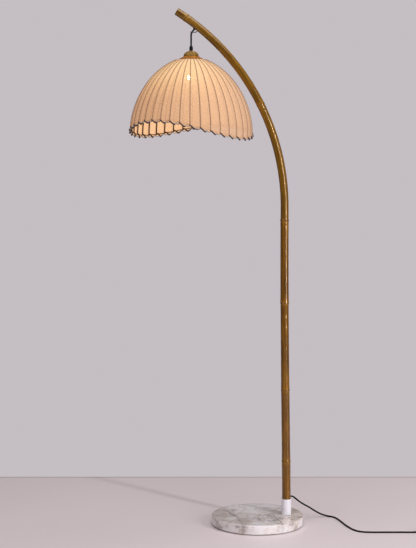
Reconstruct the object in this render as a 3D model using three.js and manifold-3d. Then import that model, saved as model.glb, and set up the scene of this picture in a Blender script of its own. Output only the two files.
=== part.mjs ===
// Arc floor lamp: a marble disc, a bowed bamboo pole with an arched top section that swivels on a
// spigot, and a pleated fabric shade that hangs from the arch on its own flex.
// Millimetres, +Z up. The origin is the centre of the base's underside, and the arch leans to -X.
import * as THREE from "three";
import { mergeVertices } from "three/addons/utils/BufferGeometryUtils.js";
import Module from "manifold-3d";

const wasm = await Module();
wasm.setup();

// ---------------------------------------------------------------- driving dimensions

const GAP = 0.3; // between pieces that touch

const BASE_RADIUS = 140;
const BASE_HEIGHT = 30;
const PAD_THICKNESS = 2;
const BASE_BEVEL = 2.2;

const COUNTERBORE_RADIUS = 15;
const COUNTERBORE_DEPTH = 12;
const BOLT_RADIUS = 4;
const BOLT_HEAD_ACROSS = 13;
const BOLT_HEAD_HEIGHT = 5.3;
const BOLT_TIP_Z = 41;
const WASHER_RADIUS = 12;
const WASHER_THICKNESS = 1.6;

const POLE_X = 88.2; // the pole's foot, off the base's centre
const SLEEVE_RADIUS = 15;
const SLEEVE_TOP = 78.6;
const SLEEVE_FLOOR = 8;
const SLEEVE_BORE = 13.5;
const SET_SCREW_HEIGHT = 28; // above the sleeve's foot
const SET_SCREW_RADIUS = 2;
const SET_SCREW_HEAD_RADIUS = 3.6;

const FOOT_RADIUS = 13.1; // of the cane, which tapers from its foot to its tip
const SEAM_RADIUS = 12.1;
const TIP_RADIUS = 11.5;
const CANE_BORE = 6.6;
const NODE_RISE = 1.0;
const POLE_FOOT_Z = 44;
const POLE_NODES_Z = [196, 415, 682];

const SEAM_X = 79; // the pole bows this far by its top, where the arch turns
const SEAM_Z = 936;
const SPIGOT_RADIUS = 7.6;
const SPIGOT_REACH = 58;

const ARCH_START_Z = 970;
const ARCH_RADIUS = 690;
const ARCH_TURN = 58.05; // degrees from the vertical at the tip
const ARCH_NODES = [26.6, 55.2]; // degrees round the arch

const FLEX_TURN = 51.9; // where the flex leaves the arch, in degrees round it
const HOOK_TURN = 51.0;
const PENDANT_X = -202.4; // the axis that the shade hangs on
const SWING_Z = 1484; // the flex bends here from side to side
const TILT_Z = 1468; // and here from front to back
const PENDANT_FLEX_RADIUS = 2.6;
const HOOK_WIRE_RADIUS = 1.35;

const SHADE_RADIUS = 184;
const SHADE_SHOULDER_Z = 1196.6; // the side is upright below this
const SHADE_CROWN = 225.4; // from the shoulder to the dome's peak
const SHADE_POWER = 1.85; // of the superellipse that the dome follows
const SHADE_OPENING = 46; // radius of the hole in the top
const FABRIC_THICKNESS = 1.2;
const PANELS = 38;
const SEAM_PHASE = -0.4; // degrees from the front to the nearest seam
const TOP_RING_RADIUS = 41.5;
const TOP_RING_Z = 1411.2;
const WIRE_RADIUS = 1.4;
const WIRE_GAP = 1.6; // between the ribs and the cloth
const HEM_Z = 1204.6;
const HEM_WAVE = 21.4;
const HEM_WAVE_PEAK = 236.4; // degrees from +X of one of the hem's two high points
const HEM_SLANT = -5.8; // how much lower the hem is on the +X side

const FLEX_RADIUS = 2.5;
const EXIT_Z = 86.4;
const EXIT_AZIMUTH = 60;
const EXIT_DIP = 12;
const GLAND_LENGTH = 18.4; // outside the pole

const SWITCH_X = 530;
const SWITCH_Y = -107;
const SWITCH_LENGTH = 72;
const SWITCH_WIDTH = 32;
const SWITCH_ENTRY_Z = 4.6;

const COIL_TURN_RADIUS = 28;
const COIL_X = 622;
const COIL_Y = SWITCH_Y + COIL_TURN_RADIUS;
const COIL_HALF_WIDTH = 7.5;
const COIL_HEIGHT = 10;
const COIL_LIFT = 1.4;

const PLUG_Y = -24;
const PLUG_Z = 8;

// ---------------------------------------------------------------- materials

const paint = (color, roughness, metalness = 0) =>
  new THREE.MeshStandardMaterial({ color, roughness, metalness });

const MARBLE = paint(0xd9d4d3, 0.25);
const FELT = paint(0x3b3a3a, 0.95);
const WHITE_STEEL = paint(0xf1f0f3, 0.35, 0.2);
const STEEL = paint(0x9a9da1, 0.35, 0.9);
const BAMBOO = paint(0x8a5a1c, 0.25);
const ARCH_BAMBOO = paint(0x9c6a24, 0.25);
const TURNED_WOOD = paint(0xa9742f, 0.35);
const BLACK_FLEX = paint(0x0c0c0d, 0.5);
const BLACK_PLASTIC = paint(0x101011, 0.4);
const DARK_METAL = paint(0x2b2830, 0.4, 0.8);
const LINEN = paint(0xe3bd9b, 0.9);
const WRAPPED_WIRE = paint(0x4a2f20, 0.8);
const PIPING = paint(0x9c8b80, 0.9);
const HOLDER_PLASTIC = paint(0xf0ede6, 0.4);
const CERAMIC = paint(0xf7f5ef, 0.3);
const BRASS = paint(0xc9a75a, 0.3, 0.9);
const GLASS = paint(0xfff3da, 0.1);

// ---------------------------------------------------------------- solids and placing

// A closed geometry as a solid that faces out.
function solidOf(geometry) {
  const bare = geometry.clone();
  bare.deleteAttribute("normal");
  bare.deleteAttribute("uv");
  const merged = mergeVertices(bare, 1e-3);
  const corners = new Uint32Array(merged.index.array);
  const build = () =>
    new wasm.Manifold(
      new wasm.Mesh({
        numProp: 3,
        vertProperties: merged.attributes.position.array,
        triVerts: corners,
      }),
    );
  const solid = build();
  if (solid.volume() > 0) return solid;
  for (let i = 0; i < corners.length; i += 3) {
    [corners[i + 1], corners[i + 2]] = [corners[i + 2], corners[i + 1]];
  }
  return build();
}

function geometryOf(solid) {
  const { vertProperties, triVerts } = solid.getMesh();
  const geometry = new THREE.BufferGeometry();
  geometry.setAttribute("position", new THREE.BufferAttribute(vertProperties, 3));
  geometry.setIndex(new THREE.BufferAttribute(triVerts, 1));
  geometry.computeVertexNormals();
  return geometry;
}

const closed = (geometry) => geometryOf(solidOf(geometry));

const cut = (geometry, ...tools) =>
  geometryOf(tools.reduce((left, tool) => left.subtract(solidOf(tool)), solidOf(geometry)));

const join = (...pieces) =>
  geometryOf(pieces.map(solidOf).reduce((whole, piece) => whole.add(piece)));

// A body turned about Z from [radius, height] points that start and end on the axis or close a loop.
function turned(points, sides = 18, start = 0) {
  const profile = points.map(([radius, height]) => new THREE.Vector2(radius, height));
  return new THREE.LatheGeometry(profile, sides, start).rotateX(Math.PI / 2);
}

// A rod or tube about Z between two heights.
function rod(radius, low, high, sides = 18) {
  return turned([[0, low], [radius, low], [radius, high], [0, high]], sides);
}

function pipe(radius, bore, low, high, sides = 18) {
  return turned([[bore, low], [radius, low], [radius, high], [bore, high], [bore, low]], sides);
}

function hexagon(acrossFlats, low, high) {
  const radius = acrossFlats / Math.sqrt(3);
  return new THREE.CylinderGeometry(radius, radius, high - low, 6)
    .rotateX(Math.PI / 2)
    .translate(0, 0, (low + high) / 2);
}

// A tube of round section along a curve.
function tube(curve, radius, sides, steps) {
  const section = new THREE.Shape(
    Array.from({ length: sides }, (_, i) => {
      const angle = (2 * Math.PI * i) / sides;
      return new THREE.Vector2(radius * Math.cos(angle), radius * Math.sin(angle));
    }),
  );
  return new THREE.ExtrudeGeometry(section, { steps, extrudePath: curve, bevelEnabled: false });
}

const spline = (points) =>
  new THREE.CatmullRomCurve3(points.map((p) => new THREE.Vector3(...p)), false, "centripetal");

// Moves each vertex of a geometry to where place(x, y, z) says.
function reshaped(geometry, place) {
  const positions = geometry.attributes.position;
  for (let i = 0; i < positions.count; i++) {
    const moved = place(positions.getX(i), positions.getY(i), positions.getZ(i));
    positions.setXYZ(i, ...moved);
  }
  return geometry;
}

// A straight body about Z, carried along a path in the XZ plane by its height above the path's start.
function carried(geometry, path) {
  const length = path.getLength();
  return reshaped(geometry, (x, y, z) => {
    const at = THREE.MathUtils.clamp(z / length, 0, 1);
    const centre = path.getPoint(at);
    const along = path.getTangent(at);
    return [centre.x + x * along.y, y, centre.y - x * along.x];
  });
}

// A body about +Z laid along a direction from a point.
function aimed(geometry, from, direction) {
  const turn = new THREE.Quaternion().setFromUnitVectors(
    new THREE.Vector3(0, 0, 1),
    direction.clone().normalize(),
  );
  return geometry.applyQuaternion(turn).translate(from.x, from.y, from.z);
}

function add(group, name, geometry, material, [x, y, z] = [0, 0, 0]) {
  const mesh = new THREE.Mesh(geometry, material);
  mesh.name = name;
  mesh.position.set(x, y, z);
  group.add(mesh);
}

const radians = THREE.MathUtils.degToRad;

// ---------------------------------------------------------------- the bamboo

// The outside of a cane: its plain points, and five round each node.
function caneOutline(plain, nodes, radiusAt) {
  const ridge = [[-7, 0], [-2, 0.5], [0, 1], [2, 0.45], [8, 0]];
  const ridges = nodes.flatMap((node) =>
    ridge.map(([offset, rise]) => {
      const at = node + offset;
      return [radiusAt(at) + rise * NODE_RISE, at];
    }),
  );
  const isEnd = (at) => at === 0 || at === plain.at(-1);
  const clear = plain.filter((at) => isEnd(at) || nodes.every((node) => Math.abs(at - node) > 12));
  return [...clear.map((at) => [radiusAt(at), at]), ...ridges]
    .filter(([, at]) => at >= 0 && at <= plain.at(-1))
    .sort((a, b) => a[1] - b[1]);
}

// A hollow, tapered cane along a path, with points every step and a ridge at each node.
function cane(path, nodes, step, startRadius, endRadius) {
  const length = path.getLength();
  const count = Math.ceil(length / step);
  const plain = Array.from({ length: count + 1 }, (_, i) => (length * i) / count);
  const radiusAt = (at) => THREE.MathUtils.lerp(startRadius, endRadius, at / length);
  const outside = caneOutline(plain, nodes, radiusAt);
  const inside = plain.map((at) => [CANE_BORE, at]).reverse();
  return carried(turned([...outside, ...inside, outside[0]], 16), path);
}

const polePath = new THREE.Path()
  .moveTo(POLE_X, POLE_FOOT_Z)
  .lineTo(POLE_X, 80)
  .bezierCurveTo(POLE_X, 200, SEAM_X, 560, SEAM_X, SEAM_Z - GAP / 2);

const archPath = new THREE.Path()
  .moveTo(SEAM_X, SEAM_Z + GAP / 2)
  .lineTo(SEAM_X, ARCH_START_Z)
  .absarc(SEAM_X - ARCH_RADIUS, ARCH_START_Z, ARCH_RADIUS, 0, radians(ARCH_TURN), false);

// A point a given depth below the arch's centre line, measured towards the centre of its curve.
function underArch(turn, depth) {
  const reach = ARCH_RADIUS - depth;
  return new THREE.Vector3(
    SEAM_X - ARCH_RADIUS + reach * Math.cos(radians(turn)),
    0,
    ARCH_START_Z + reach * Math.sin(radians(turn)),
  );
}

const inward = (turn) => new THREE.Vector3(-Math.cos(radians(turn)), 0, -Math.sin(radians(turn)));

const exitDirection = new THREE.Vector3(
  Math.cos(radians(EXIT_AZIMUTH)) * Math.cos(radians(EXIT_DIP)),
  Math.sin(radians(EXIT_AZIMUTH)) * Math.cos(radians(EXIT_DIP)),
  -Math.sin(radians(EXIT_DIP)),
);
const exitCentre = new THREE.Vector3(POLE_X, 0, EXIT_Z);

// ---------------------------------------------------------------- base

function addBase(lamp) {
  const base = new THREE.Group();
  const slabLow = PAD_THICKNESS + GAP;
  const counterboreTop = slabLow + COUNTERBORE_DEPTH;
  const boltHoleRadius = BOLT_RADIUS + 0.6;

  add(base, "base_pad", closed(rod(BASE_RADIUS - 4, 0, PAD_THICKNESS, 48)), FELT);

  const disc = turned(
    [
      [0, slabLow],
      [BASE_RADIUS - BASE_BEVEL, slabLow],
      [BASE_RADIUS, slabLow + BASE_BEVEL],
      [BASE_RADIUS, BASE_HEIGHT - BASE_BEVEL],
      [BASE_RADIUS - 0.7 * BASE_BEVEL, BASE_HEIGHT - 0.3 * BASE_BEVEL],
      [BASE_RADIUS - 2 * BASE_BEVEL, BASE_HEIGHT],
      [0, BASE_HEIGHT],
    ],
    48,
  );
  const boltHole = rod(boltHoleRadius, 0, BASE_HEIGHT + 5).translate(POLE_X, 0, 0);
  const counterbore = rod(COUNTERBORE_RADIUS, 0, counterboreTop).translate(POLE_X, 0, 0);
  add(base, "base_slab", cut(disc, boltHole, counterbore), MARBLE);

  const sleeveHeight = SLEEVE_TOP - BASE_HEIGHT - GAP;
  const sleeve = turned([
    [BOLT_RADIUS + GAP, 0],
    [SLEEVE_RADIUS, 0],
    [SLEEVE_RADIUS, sleeveHeight],
    [SLEEVE_BORE, sleeveHeight],
    [SLEEVE_BORE, SLEEVE_FLOOR],
    [BOLT_RADIUS + GAP, SLEEVE_FLOOR],
    [BOLT_RADIUS + GAP, 0],
  ]);
  const screwCentre = new THREE.Vector3(0, 0, SET_SCREW_HEIGHT);
  const toBack = new THREE.Vector3(-0.4, 0.92, 0);
  const screwHole = aimed(rod(SET_SCREW_RADIUS + GAP, 8, 20, 16), screwCentre, toBack);
  add(base, "socket_tube", cut(sleeve, screwHole), WHITE_STEEL, [
    POLE_X,
    0,
    BASE_HEIGHT + GAP,
  ]);

  const headSeat = SLEEVE_RADIUS + GAP;
  const setScrew = join(
    rod(SET_SCREW_RADIUS, FOOT_RADIUS + GAP, headSeat, 16),
    rod(SET_SCREW_HEAD_RADIUS, headSeat, headSeat + 2.5, 16),
  );
  add(base, "set_screw", aimed(setScrew, screwCentre, toBack), STEEL, [
    POLE_X,
    0,
    BASE_HEIGHT + GAP,
  ]);

  const washerTop = counterboreTop - GAP;
  const washerLow = washerTop - WASHER_THICKNESS;
  const washer = closed(pipe(WASHER_RADIUS, BOLT_RADIUS + 0.4, washerLow, washerTop));
  add(base, "base_washer", washer, STEEL, [POLE_X, 0, 0]);

  const headTop = washerLow - GAP;
  const bolt = join(
    hexagon(BOLT_HEAD_ACROSS, headTop - BOLT_HEAD_HEIGHT, headTop),
    rod(BOLT_RADIUS, headTop - 1, BOLT_TIP_Z, 16),
  );
  add(base, "base_bolt", bolt, STEEL, [POLE_X, 0, 0]);

  lamp.add(base);
}

// ---------------------------------------------------------------- pole and arch

function addPole(lamp) {
  const pole = new THREE.Group();
  const nodes = [...POLE_NODES_Z, SEAM_Z - 3].map((z) => z - POLE_FOOT_Z);
  const spigotBore = rod(SPIGOT_RADIUS + GAP, SEAM_Z - SPIGOT_REACH - 2, SEAM_Z + 5, 20);
  const neckRadius = 4.1;
  const exitHole = aimed(rod(neckRadius + GAP, 0, 20, 16), exitCentre, exitDirection);
  add(
    pole,
    "pole_lower",
    cut(
      cane(polePath, nodes, 90, FOOT_RADIUS, SEAM_RADIUS),
      spigotBore.translate(SEAM_X, 0, 0),
      exitHole,
    ),
    BAMBOO,
  );

  const spigot = pipe(SPIGOT_RADIUS, 4.8, -SPIGOT_REACH, SPIGOT_REACH, 20);
  add(pole, "joint_spigot", closed(spigot), STEEL, [SEAM_X, 0, SEAM_Z]);

  // Moulded relief: a neck through the wall, a collar outside it, and a taper down to the flex.
  const collarRadius = 4.6;
  const gland = turned(
    [
      [0, 5.5],
      [neckRadius, 5.5],
      [neckRadius, FOOT_RADIUS + 1.4],
      [collarRadius, FOOT_RADIUS + 1.7],
      [collarRadius, FOOT_RADIUS + 3],
      [3.9, FOOT_RADIUS + 3.6],
      [FLEX_RADIUS + 0.6, FOOT_RADIUS + GLAND_LENGTH],
      [0, FOOT_RADIUS + GLAND_LENGTH],
    ],
    16,
  );
  add(pole, "cord_gland", closed(aimed(gland, exitCentre, exitDirection)), BLACK_PLASTIC);

  const aboveGland = 60;
  add(pole, "inner_cord_lower", innerFlex(polePath, aboveGland, polePath.getLength(), 8), BLACK_FLEX);

  lamp.add(pole);
}

// The flex inside a cane, between two distances along its path.
function innerFlex(path, start, end, steps) {
  const side = Array.from({ length: steps + 1 }, (_, i) => [
    FLEX_RADIUS,
    start + ((end - start) * i) / steps,
  ]);
  return closed(carried(turned([[0, start], ...side, [0, end]], 8), path));
}

function addArch(lamp) {
  const arch = new THREE.Group();
  const straight = ARCH_START_Z - SEAM_Z;
  const nodes = ARCH_NODES.map((turn) => straight + ARCH_RADIUS * radians(turn));
  const spigotBore = rod(SPIGOT_RADIUS + GAP, SEAM_Z - 5, SEAM_Z + SPIGOT_REACH + 2, 20);
  const grommetRadius = 3.9;
  const flexHole = aimed(
    rod(grommetRadius + GAP, 3, 16, 16),
    underArch(FLEX_TURN, 0),
    inward(FLEX_TURN),
  );
  const hookHole = aimed(
    rod(HOOK_WIRE_RADIUS + 0.5, 5, 16, 12),
    underArch(HOOK_TURN, 0),
    inward(HOOK_TURN),
  );
  add(
    arch,
    "pole_arc",
    cut(
      cane(archPath, nodes, 46, SEAM_RADIUS, TIP_RADIUS),
      spigotBore.translate(SEAM_X, 0, 0),
      flexHole,
      hookHole,
    ),
    ARCH_BAMBOO,
  );

  const grommet = turned(
    [
      [PENDANT_FLEX_RADIUS + GAP, 6.5],
      [grommetRadius, 6.5],
      [grommetRadius, TIP_RADIUS + 0.4],
      [grommetRadius + 0.5, TIP_RADIUS + 0.8],
      [grommetRadius + 0.5, TIP_RADIUS + 1.5],
      [PENDANT_FLEX_RADIUS + GAP, TIP_RADIUS + 1.5],
      [PENDANT_FLEX_RADIUS + GAP, 6.5],
    ],
    16,
  );
  add(
    arch,
    "arc_grommet",
    closed(aimed(grommet, underArch(FLEX_TURN, 0), inward(FLEX_TURN))),
    BLACK_PLASTIC,
  );

  const innerEnd = straight + ARCH_RADIUS * radians(FLEX_TURN - 1);
  add(arch, "inner_cord_upper", innerFlex(archPath, 0, innerEnd, 17), BLACK_FLEX);

  lamp.add(arch);
}

// ---------------------------------------------------------------- what hangs from the arch

// The flex from inside the arch, out of its hole, to just above the point where it swings.
const hangRoute = new THREE.CatmullRomCurve3(
  [
    underArch(FLEX_TURN - 0.9, -0.6),
    underArch(FLEX_TURN - 0.3, 0.6),
    underArch(FLEX_TURN - 0.02, 4),
    underArch(FLEX_TURN, 8),
    underArch(FLEX_TURN, 12),
    underArch(FLEX_TURN, 15.5),
    new THREE.Vector3(-198.3, 0, 1496.2),
    new THREE.Vector3(-200.8, 0, 1491.2),
    new THREE.Vector3(PENDANT_X, 0, SWING_Z + PENDANT_FLEX_RADIUS + GAP),
  ],
  false,
  "centripetal",
);

function addHook(lamp) {
  const hanger = new THREE.Group();
  const eyeCentre = new THREE.Vector3(-199.4, 0, 1493.4);
  const eyeRadius = 4.9;
  const shank = [7.5, 11, 14].map((depth) => underArch(HOOK_TURN, depth));
  const turns = [0, 45, 90, 135, 180, 225, 270, 310].map(
    (angle) =>
      new THREE.Vector3(
        eyeCentre.x + eyeRadius * Math.cos(radians(angle)),
        -eyeRadius * Math.sin(radians(angle)),
        eyeCentre.z + 0.005 * angle,
      ),
  );
  const hookRoute = new THREE.CatmullRomCurve3([...shank, ...turns], false, "centripetal");
  add(hanger, "cord_hook", closed(tube(hookRoute, HOOK_WIRE_RADIUS, 8, 30)), DARK_METAL);
  add(hanger, "pendant_cord_top", closed(tube(hangRoute, PENDANT_FLEX_RADIUS, 8, 20)), BLACK_FLEX);
  lamp.add(hanger);
}

// A hanging length of flex whose rounded top end turns about its own centre.
function swingingFlex(top, low) {
  const radius = PENDANT_FLEX_RADIUS;
  const cap = [90, 60, 30, 0].map((angle) => [
    Math.abs(radius * Math.cos(radians(angle))),
    top + radius * Math.sin(radians(angle)),
  ]);
  cap[0][0] = 0;
  return closed(turned([...cap, [radius, low], [0, low]], 12));
}

function addPendantFlex(pendant) {
  const upperEnd = TILT_Z + PENDANT_FLEX_RADIUS + GAP;
  add(pendant, "pendant_cord_mid", swingingFlex(SWING_Z, upperEnd), BLACK_FLEX);
  add(pendant, "pendant_cord_low", swingingFlex(TILT_Z, 1427), BLACK_FLEX);
}

function addCap(pendant) {
  const grip = turned(
    [
      [3.1, 1439.4],
      [3.1, 1446.6],
      [3.1, 1452.8],
      [4.3, 1452.8],
      [5.2, 1451.6],
      [5.2, 1447],
      [5.6, 1446.6],
      [5.6, 1441.6],
      [4.9, 1439.4],
      [3.1, 1439.4],
    ],
    20,
  );
  const threadBore = rod(4.4, 1439, 1446, 20);
  add(pendant, "cord_grip", cut(grip, threadBore), BLACK_PLASTIC);

  add(pendant, "nipple", closed(pipe(4.1, 3, 1427, 1445.7, 20)), STEEL);

  const outside = Array.from({ length: 8 }, (_, i) => {
    const angle = radians(10 * i + 4);
    return [22.9 * Math.cos(angle), 1423.1 + 16 * Math.sin(angle)];
  });
  const domeTop = 1439.1;
  const dome = turned(
    [
      [19.2, 1422.9],
      [22.6, 1422.9],
      ...outside,
      [4.4, domeTop],
      [4.4, 1431.4],
      [13.6, 1431.4],
      [19.2, 1423.6],
      [19.2, 1422.9],
    ],
    24,
  );
  add(pendant, "cap_dome", closed(dome), TURNED_WOOD);

  const flange = turned(
    [
      [22.6, 1413.9],
      [34.6, 1413.9],
      [35.2, 1414.9],
      [34.6, 1416.1],
      [31, 1417.6],
      [27, 1419.6],
      [24.6, 1421.6],
      [23.6, 1422.6],
      [22.6, 1422.6],
      [22.6, 1413.9],
    ],
    24,
  );
  add(pendant, "cap_flange", closed(flange), TURNED_WOOD);
}

function addLampholder(pendant) {
  const cap = turned(
    [
      [4.4, 1428.6],
      [4.4, 1430.9],
      [13, 1430.9],
      [18.4, 1423.4],
      [18.4, 1418.9],
      [16.8, 1418.9],
      [16.8, 1423],
      [12.2, 1428.6],
      [4.4, 1428.6],
    ],
    24,
  );
  add(pendant, "holder_cap", closed(cap), HOLDER_PLASTIC);

  const skirt = turned(
    [
      [16.8, 1384],
      [19.2, 1384],
      [19.2, 1414],
      [22, 1414],
      [22, 1416.4],
      [18.4, 1416.4],
      [18.4, 1418.5],
      [16.8, 1418.5],
      [16.8, 1384],
    ],
    24,
  );
  add(pendant, "holder_skirt", closed(skirt), HOLDER_PLASTIC);

  const ring = turned(
    [[19.6, 1404], [26, 1404], [27, 1405.2], [27, 1409.6], [26, 1410.8], [19.6, 1410.8], [19.6, 1404]],
    24,
  );
  add(pendant, "shade_ring", closed(ring), HOLDER_PLASTIC);

  const insert = join(rod(16.3, 1412, 1418, 24), rod(4.2, 1408.6, 1412.5, 12));
  add(pendant, "holder_insert", insert, CERAMIC);
  add(pendant, "holder_shell", closed(pipe(15.2, 14.2, 1385, 1411.6, 24)), BRASS);
}

function addBulb(pendant) {
  const thread = [];
  const pitch = 3.6;
  for (let i = 0; i < 5; i++) {
    const low = 1384.2 + i * pitch;
    thread.push([12.7, low], [13.4, low + pitch / 2]);
  }
  const screwCap = turned([[0, 1384.2], ...thread, [12.7, 1402.2], [6, 1405], [3.4, 1408], [0, 1408]]);
  add(pendant, "bulb_cap", closed(screwCap), BRASS);

  const globeRadius = 22.5;
  const globeZ = 1357.5;
  const globe = Array.from({ length: 8 }, (_, i) => {
    const angle = radians(-90 + 20 * i);
    return [Math.max(0, globeRadius * Math.cos(angle)), globeZ + globeRadius * Math.sin(angle)];
  });
  globe[0][0] = 0;
  const neck = [[13.4, 1380.2], [12.9, 1383.9], [0, 1383.9]];
  add(pendant, "bulb_glass", closed(turned([...globe, ...neck], 20)), GLASS);
}

// ---------------------------------------------------------------- shade

// The cloth's outer radius at a height.
function shadeRadius(z) {
  const rise = Math.max(0, z - SHADE_SHOULDER_Z) / SHADE_CROWN;
  return SHADE_RADIUS * (1 - Math.min(1, rise ** SHADE_POWER)) ** (1 / SHADE_POWER);
}

// The height at which the dome has a given radius.
function shadeHeight(radius) {
  const spread = (radius / SHADE_RADIUS) ** SHADE_POWER;
  return SHADE_SHOULDER_Z + SHADE_CROWN * (1 - spread) ** (1 / SHADE_POWER);
}

// The hem's height at an angle from +X: two high points, two low ones, and a slant.
function hemHeight(angle) {
  const wave = HEM_WAVE * Math.cos(2 * (angle - radians(HEM_WAVE_PEAK)));
  return HEM_Z + wave + HEM_SLANT * Math.cos(angle);
}

const seamAngle = (index) => radians(270 + SEAM_PHASE) + (2 * Math.PI * index) / PANELS;

// LatheGeometry's first side, turned so that its corners lie on the seams.
const seamStart = Math.PI / 2 - seamAngle(0);

function fabricShell() {
  const rows = 8;
  const top = shadeHeight(SHADE_OPENING);
  const heights = Array.from({ length: rows + 1 }, (_, i) => Math.sin((Math.PI / 2) * (i / rows)));
  const outside = heights.map((v) => [SHADE_RADIUS, v]);
  const inside = heights.map((v) => [SHADE_RADIUS - FABRIC_THICKNESS, v]).reverse();
  const sheet = turned([...outside, ...inside, outside[0]], PANELS, seamStart);
  return reshaped(sheet, (x, y, v) => {
    const angle = Math.atan2(y, x);
    const depth = SHADE_RADIUS - Math.hypot(x, y);
    const hem = hemHeight(angle);
    const z = hem + (top - hem) * v;
    const facingUp = THREE.MathUtils.clamp(2 * v - 1, 0, 1); // the cloth lies flatter as it rises
    const radius = shadeRadius(z) - depth * (v > 0.9 ? 0.4 : 1);
    return [radius * Math.cos(angle), radius * Math.sin(angle), z - depth * facingUp];
  });
}

// A ring of round section that follows the hem.
function hemRing(depth, below, radius) {
  const section = Array.from({ length: 5 }, (_, i) => {
    const angle = (2 * Math.PI * (i % 4)) / 4;
    return [SHADE_RADIUS - depth + radius * Math.cos(angle), radius * Math.sin(angle)];
  });
  return reshaped(turned(section, PANELS, seamStart), (x, y, z) => {
    const hem = hemHeight(Math.atan2(y, x));
    const narrowed = 1 - (SHADE_RADIUS - shadeRadius(hem)) / Math.hypot(x, y);
    return [x * narrowed, y * narrowed, z + hem - below];
  });
}

// Ribs behind the seams, a hem wire, a top ring, and a spider that the lampholder grips.
function shadeFrame() {
  const depth = FABRIC_THICKNESS + WIRE_GAP + WIRE_RADIUS;
  const hubRadius = 26;
  const hubLow = 1411.2;
  const hubHigh = 1413.6;
  const spokeStart = hubRadius - 3.5; // inside the hub
  const spokeEnd = TOP_RING_RADIUS + 0.5; // inside the ring's wire
  const hemWireRise = 1.5;
  const ringSection = Array.from({ length: 5 }, (_, i) => {
    const angle = (2 * Math.PI * (i % 4)) / 4;
    return [
      TOP_RING_RADIUS + WIRE_RADIUS * Math.cos(angle),
      TOP_RING_Z + WIRE_RADIUS * Math.sin(angle),
    ];
  });
  const pieces = [turned(ringSection, PANELS), pipe(hubRadius, 20.2, hubLow, hubHigh, 24)];
  for (let i = 0; i < 3; i++) {
    const spoke = new THREE.BoxGeometry(spokeEnd - spokeStart, 9, 1.6);
    const turn = (2 * Math.PI * i) / 3;
    spoke.translate((spokeStart + spokeEnd) / 2, 0, (hubLow + hubHigh) / 2);
    pieces.push(spoke.rotateZ(turn));
  }
  pieces.push(hemRing(depth, -hemWireRise, WIRE_RADIUS));
  for (let i = 0; i < PANELS; i++) {
    const angle = seamAngle(i);
    const low = hemHeight(angle) + hemWireRise + 0.4; // on the hem's wire
    const reach = [0, 0.25, 0.5, 0.7, 0.85, 0.95].map((v) => {
      const z = low + (TOP_RING_Z - low) * v;
      const radius = shadeRadius(z + 3 * v) - depth;
      return [radius * Math.cos(angle), radius * Math.sin(angle), z];
    });
    const onRing = [TOP_RING_RADIUS * Math.cos(angle), TOP_RING_RADIUS * Math.sin(angle)];
    reach.push([...onRing, TOP_RING_Z]);
    pieces.push(tube(spline(reach), WIRE_RADIUS, 3, 5));
  }
  return join(...pieces);
}

function addShade(pendant) {
  add(pendant, "shade_frame", shadeFrame(), WRAPPED_WIRE);
  add(pendant, "shade_fabric", closed(fabricShell()), LINEN);
  add(pendant, "hem_piping", closed(hemRing(0.8, 1.9, 1.6)), PIPING);
}

// ---------------------------------------------------------------- mains flex, switch and plug

const glandTip = exitCentre.clone().addScaledVector(exitDirection, FOOT_RADIUS + GLAND_LENGTH + GAP);

const floorFlexZ = FLEX_RADIUS + 0.1;

// From the gland, over the base's edge, down to the floor and across it to the foot switch.
const flexRoute = spline([
  glandTip.toArray(),
  glandTip.clone().addScaledVector(exitDirection, 4).toArray(),
  [112, 37.6, 75.6],
  [120.5, 44.5, 67.5],
  [131, 50.5, 57.8],
  [146, 58.5, 46.5],
  [162, 66, 36.1],
  [176, 72.5, 26],
  [189, 78, 16.8],
  [205, 82, 8.5],
  [223, 82, 3.4],
  [238, 74, floorFlexZ],
  [247, 58, floorFlexZ],
  [253, 38, floorFlexZ],
  [260, 10, floorFlexZ],
  [267, -20, floorFlexZ],
  [275, -48, floorFlexZ],
  [284, -72, floorFlexZ],
  [296, -92, floorFlexZ],
  [313, -103.5, floorFlexZ],
  [335, SWITCH_Y, floorFlexZ],
  [375, SWITCH_Y, floorFlexZ],
  [425, SWITCH_Y, floorFlexZ],
  [462, SWITCH_Y, floorFlexZ],
  [480, SWITCH_Y, 3.9],
  [SWITCH_X - SWITCH_LENGTH / 2 - 8 - GAP, SWITCH_Y, SWITCH_ENTRY_Z],
]);

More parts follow.
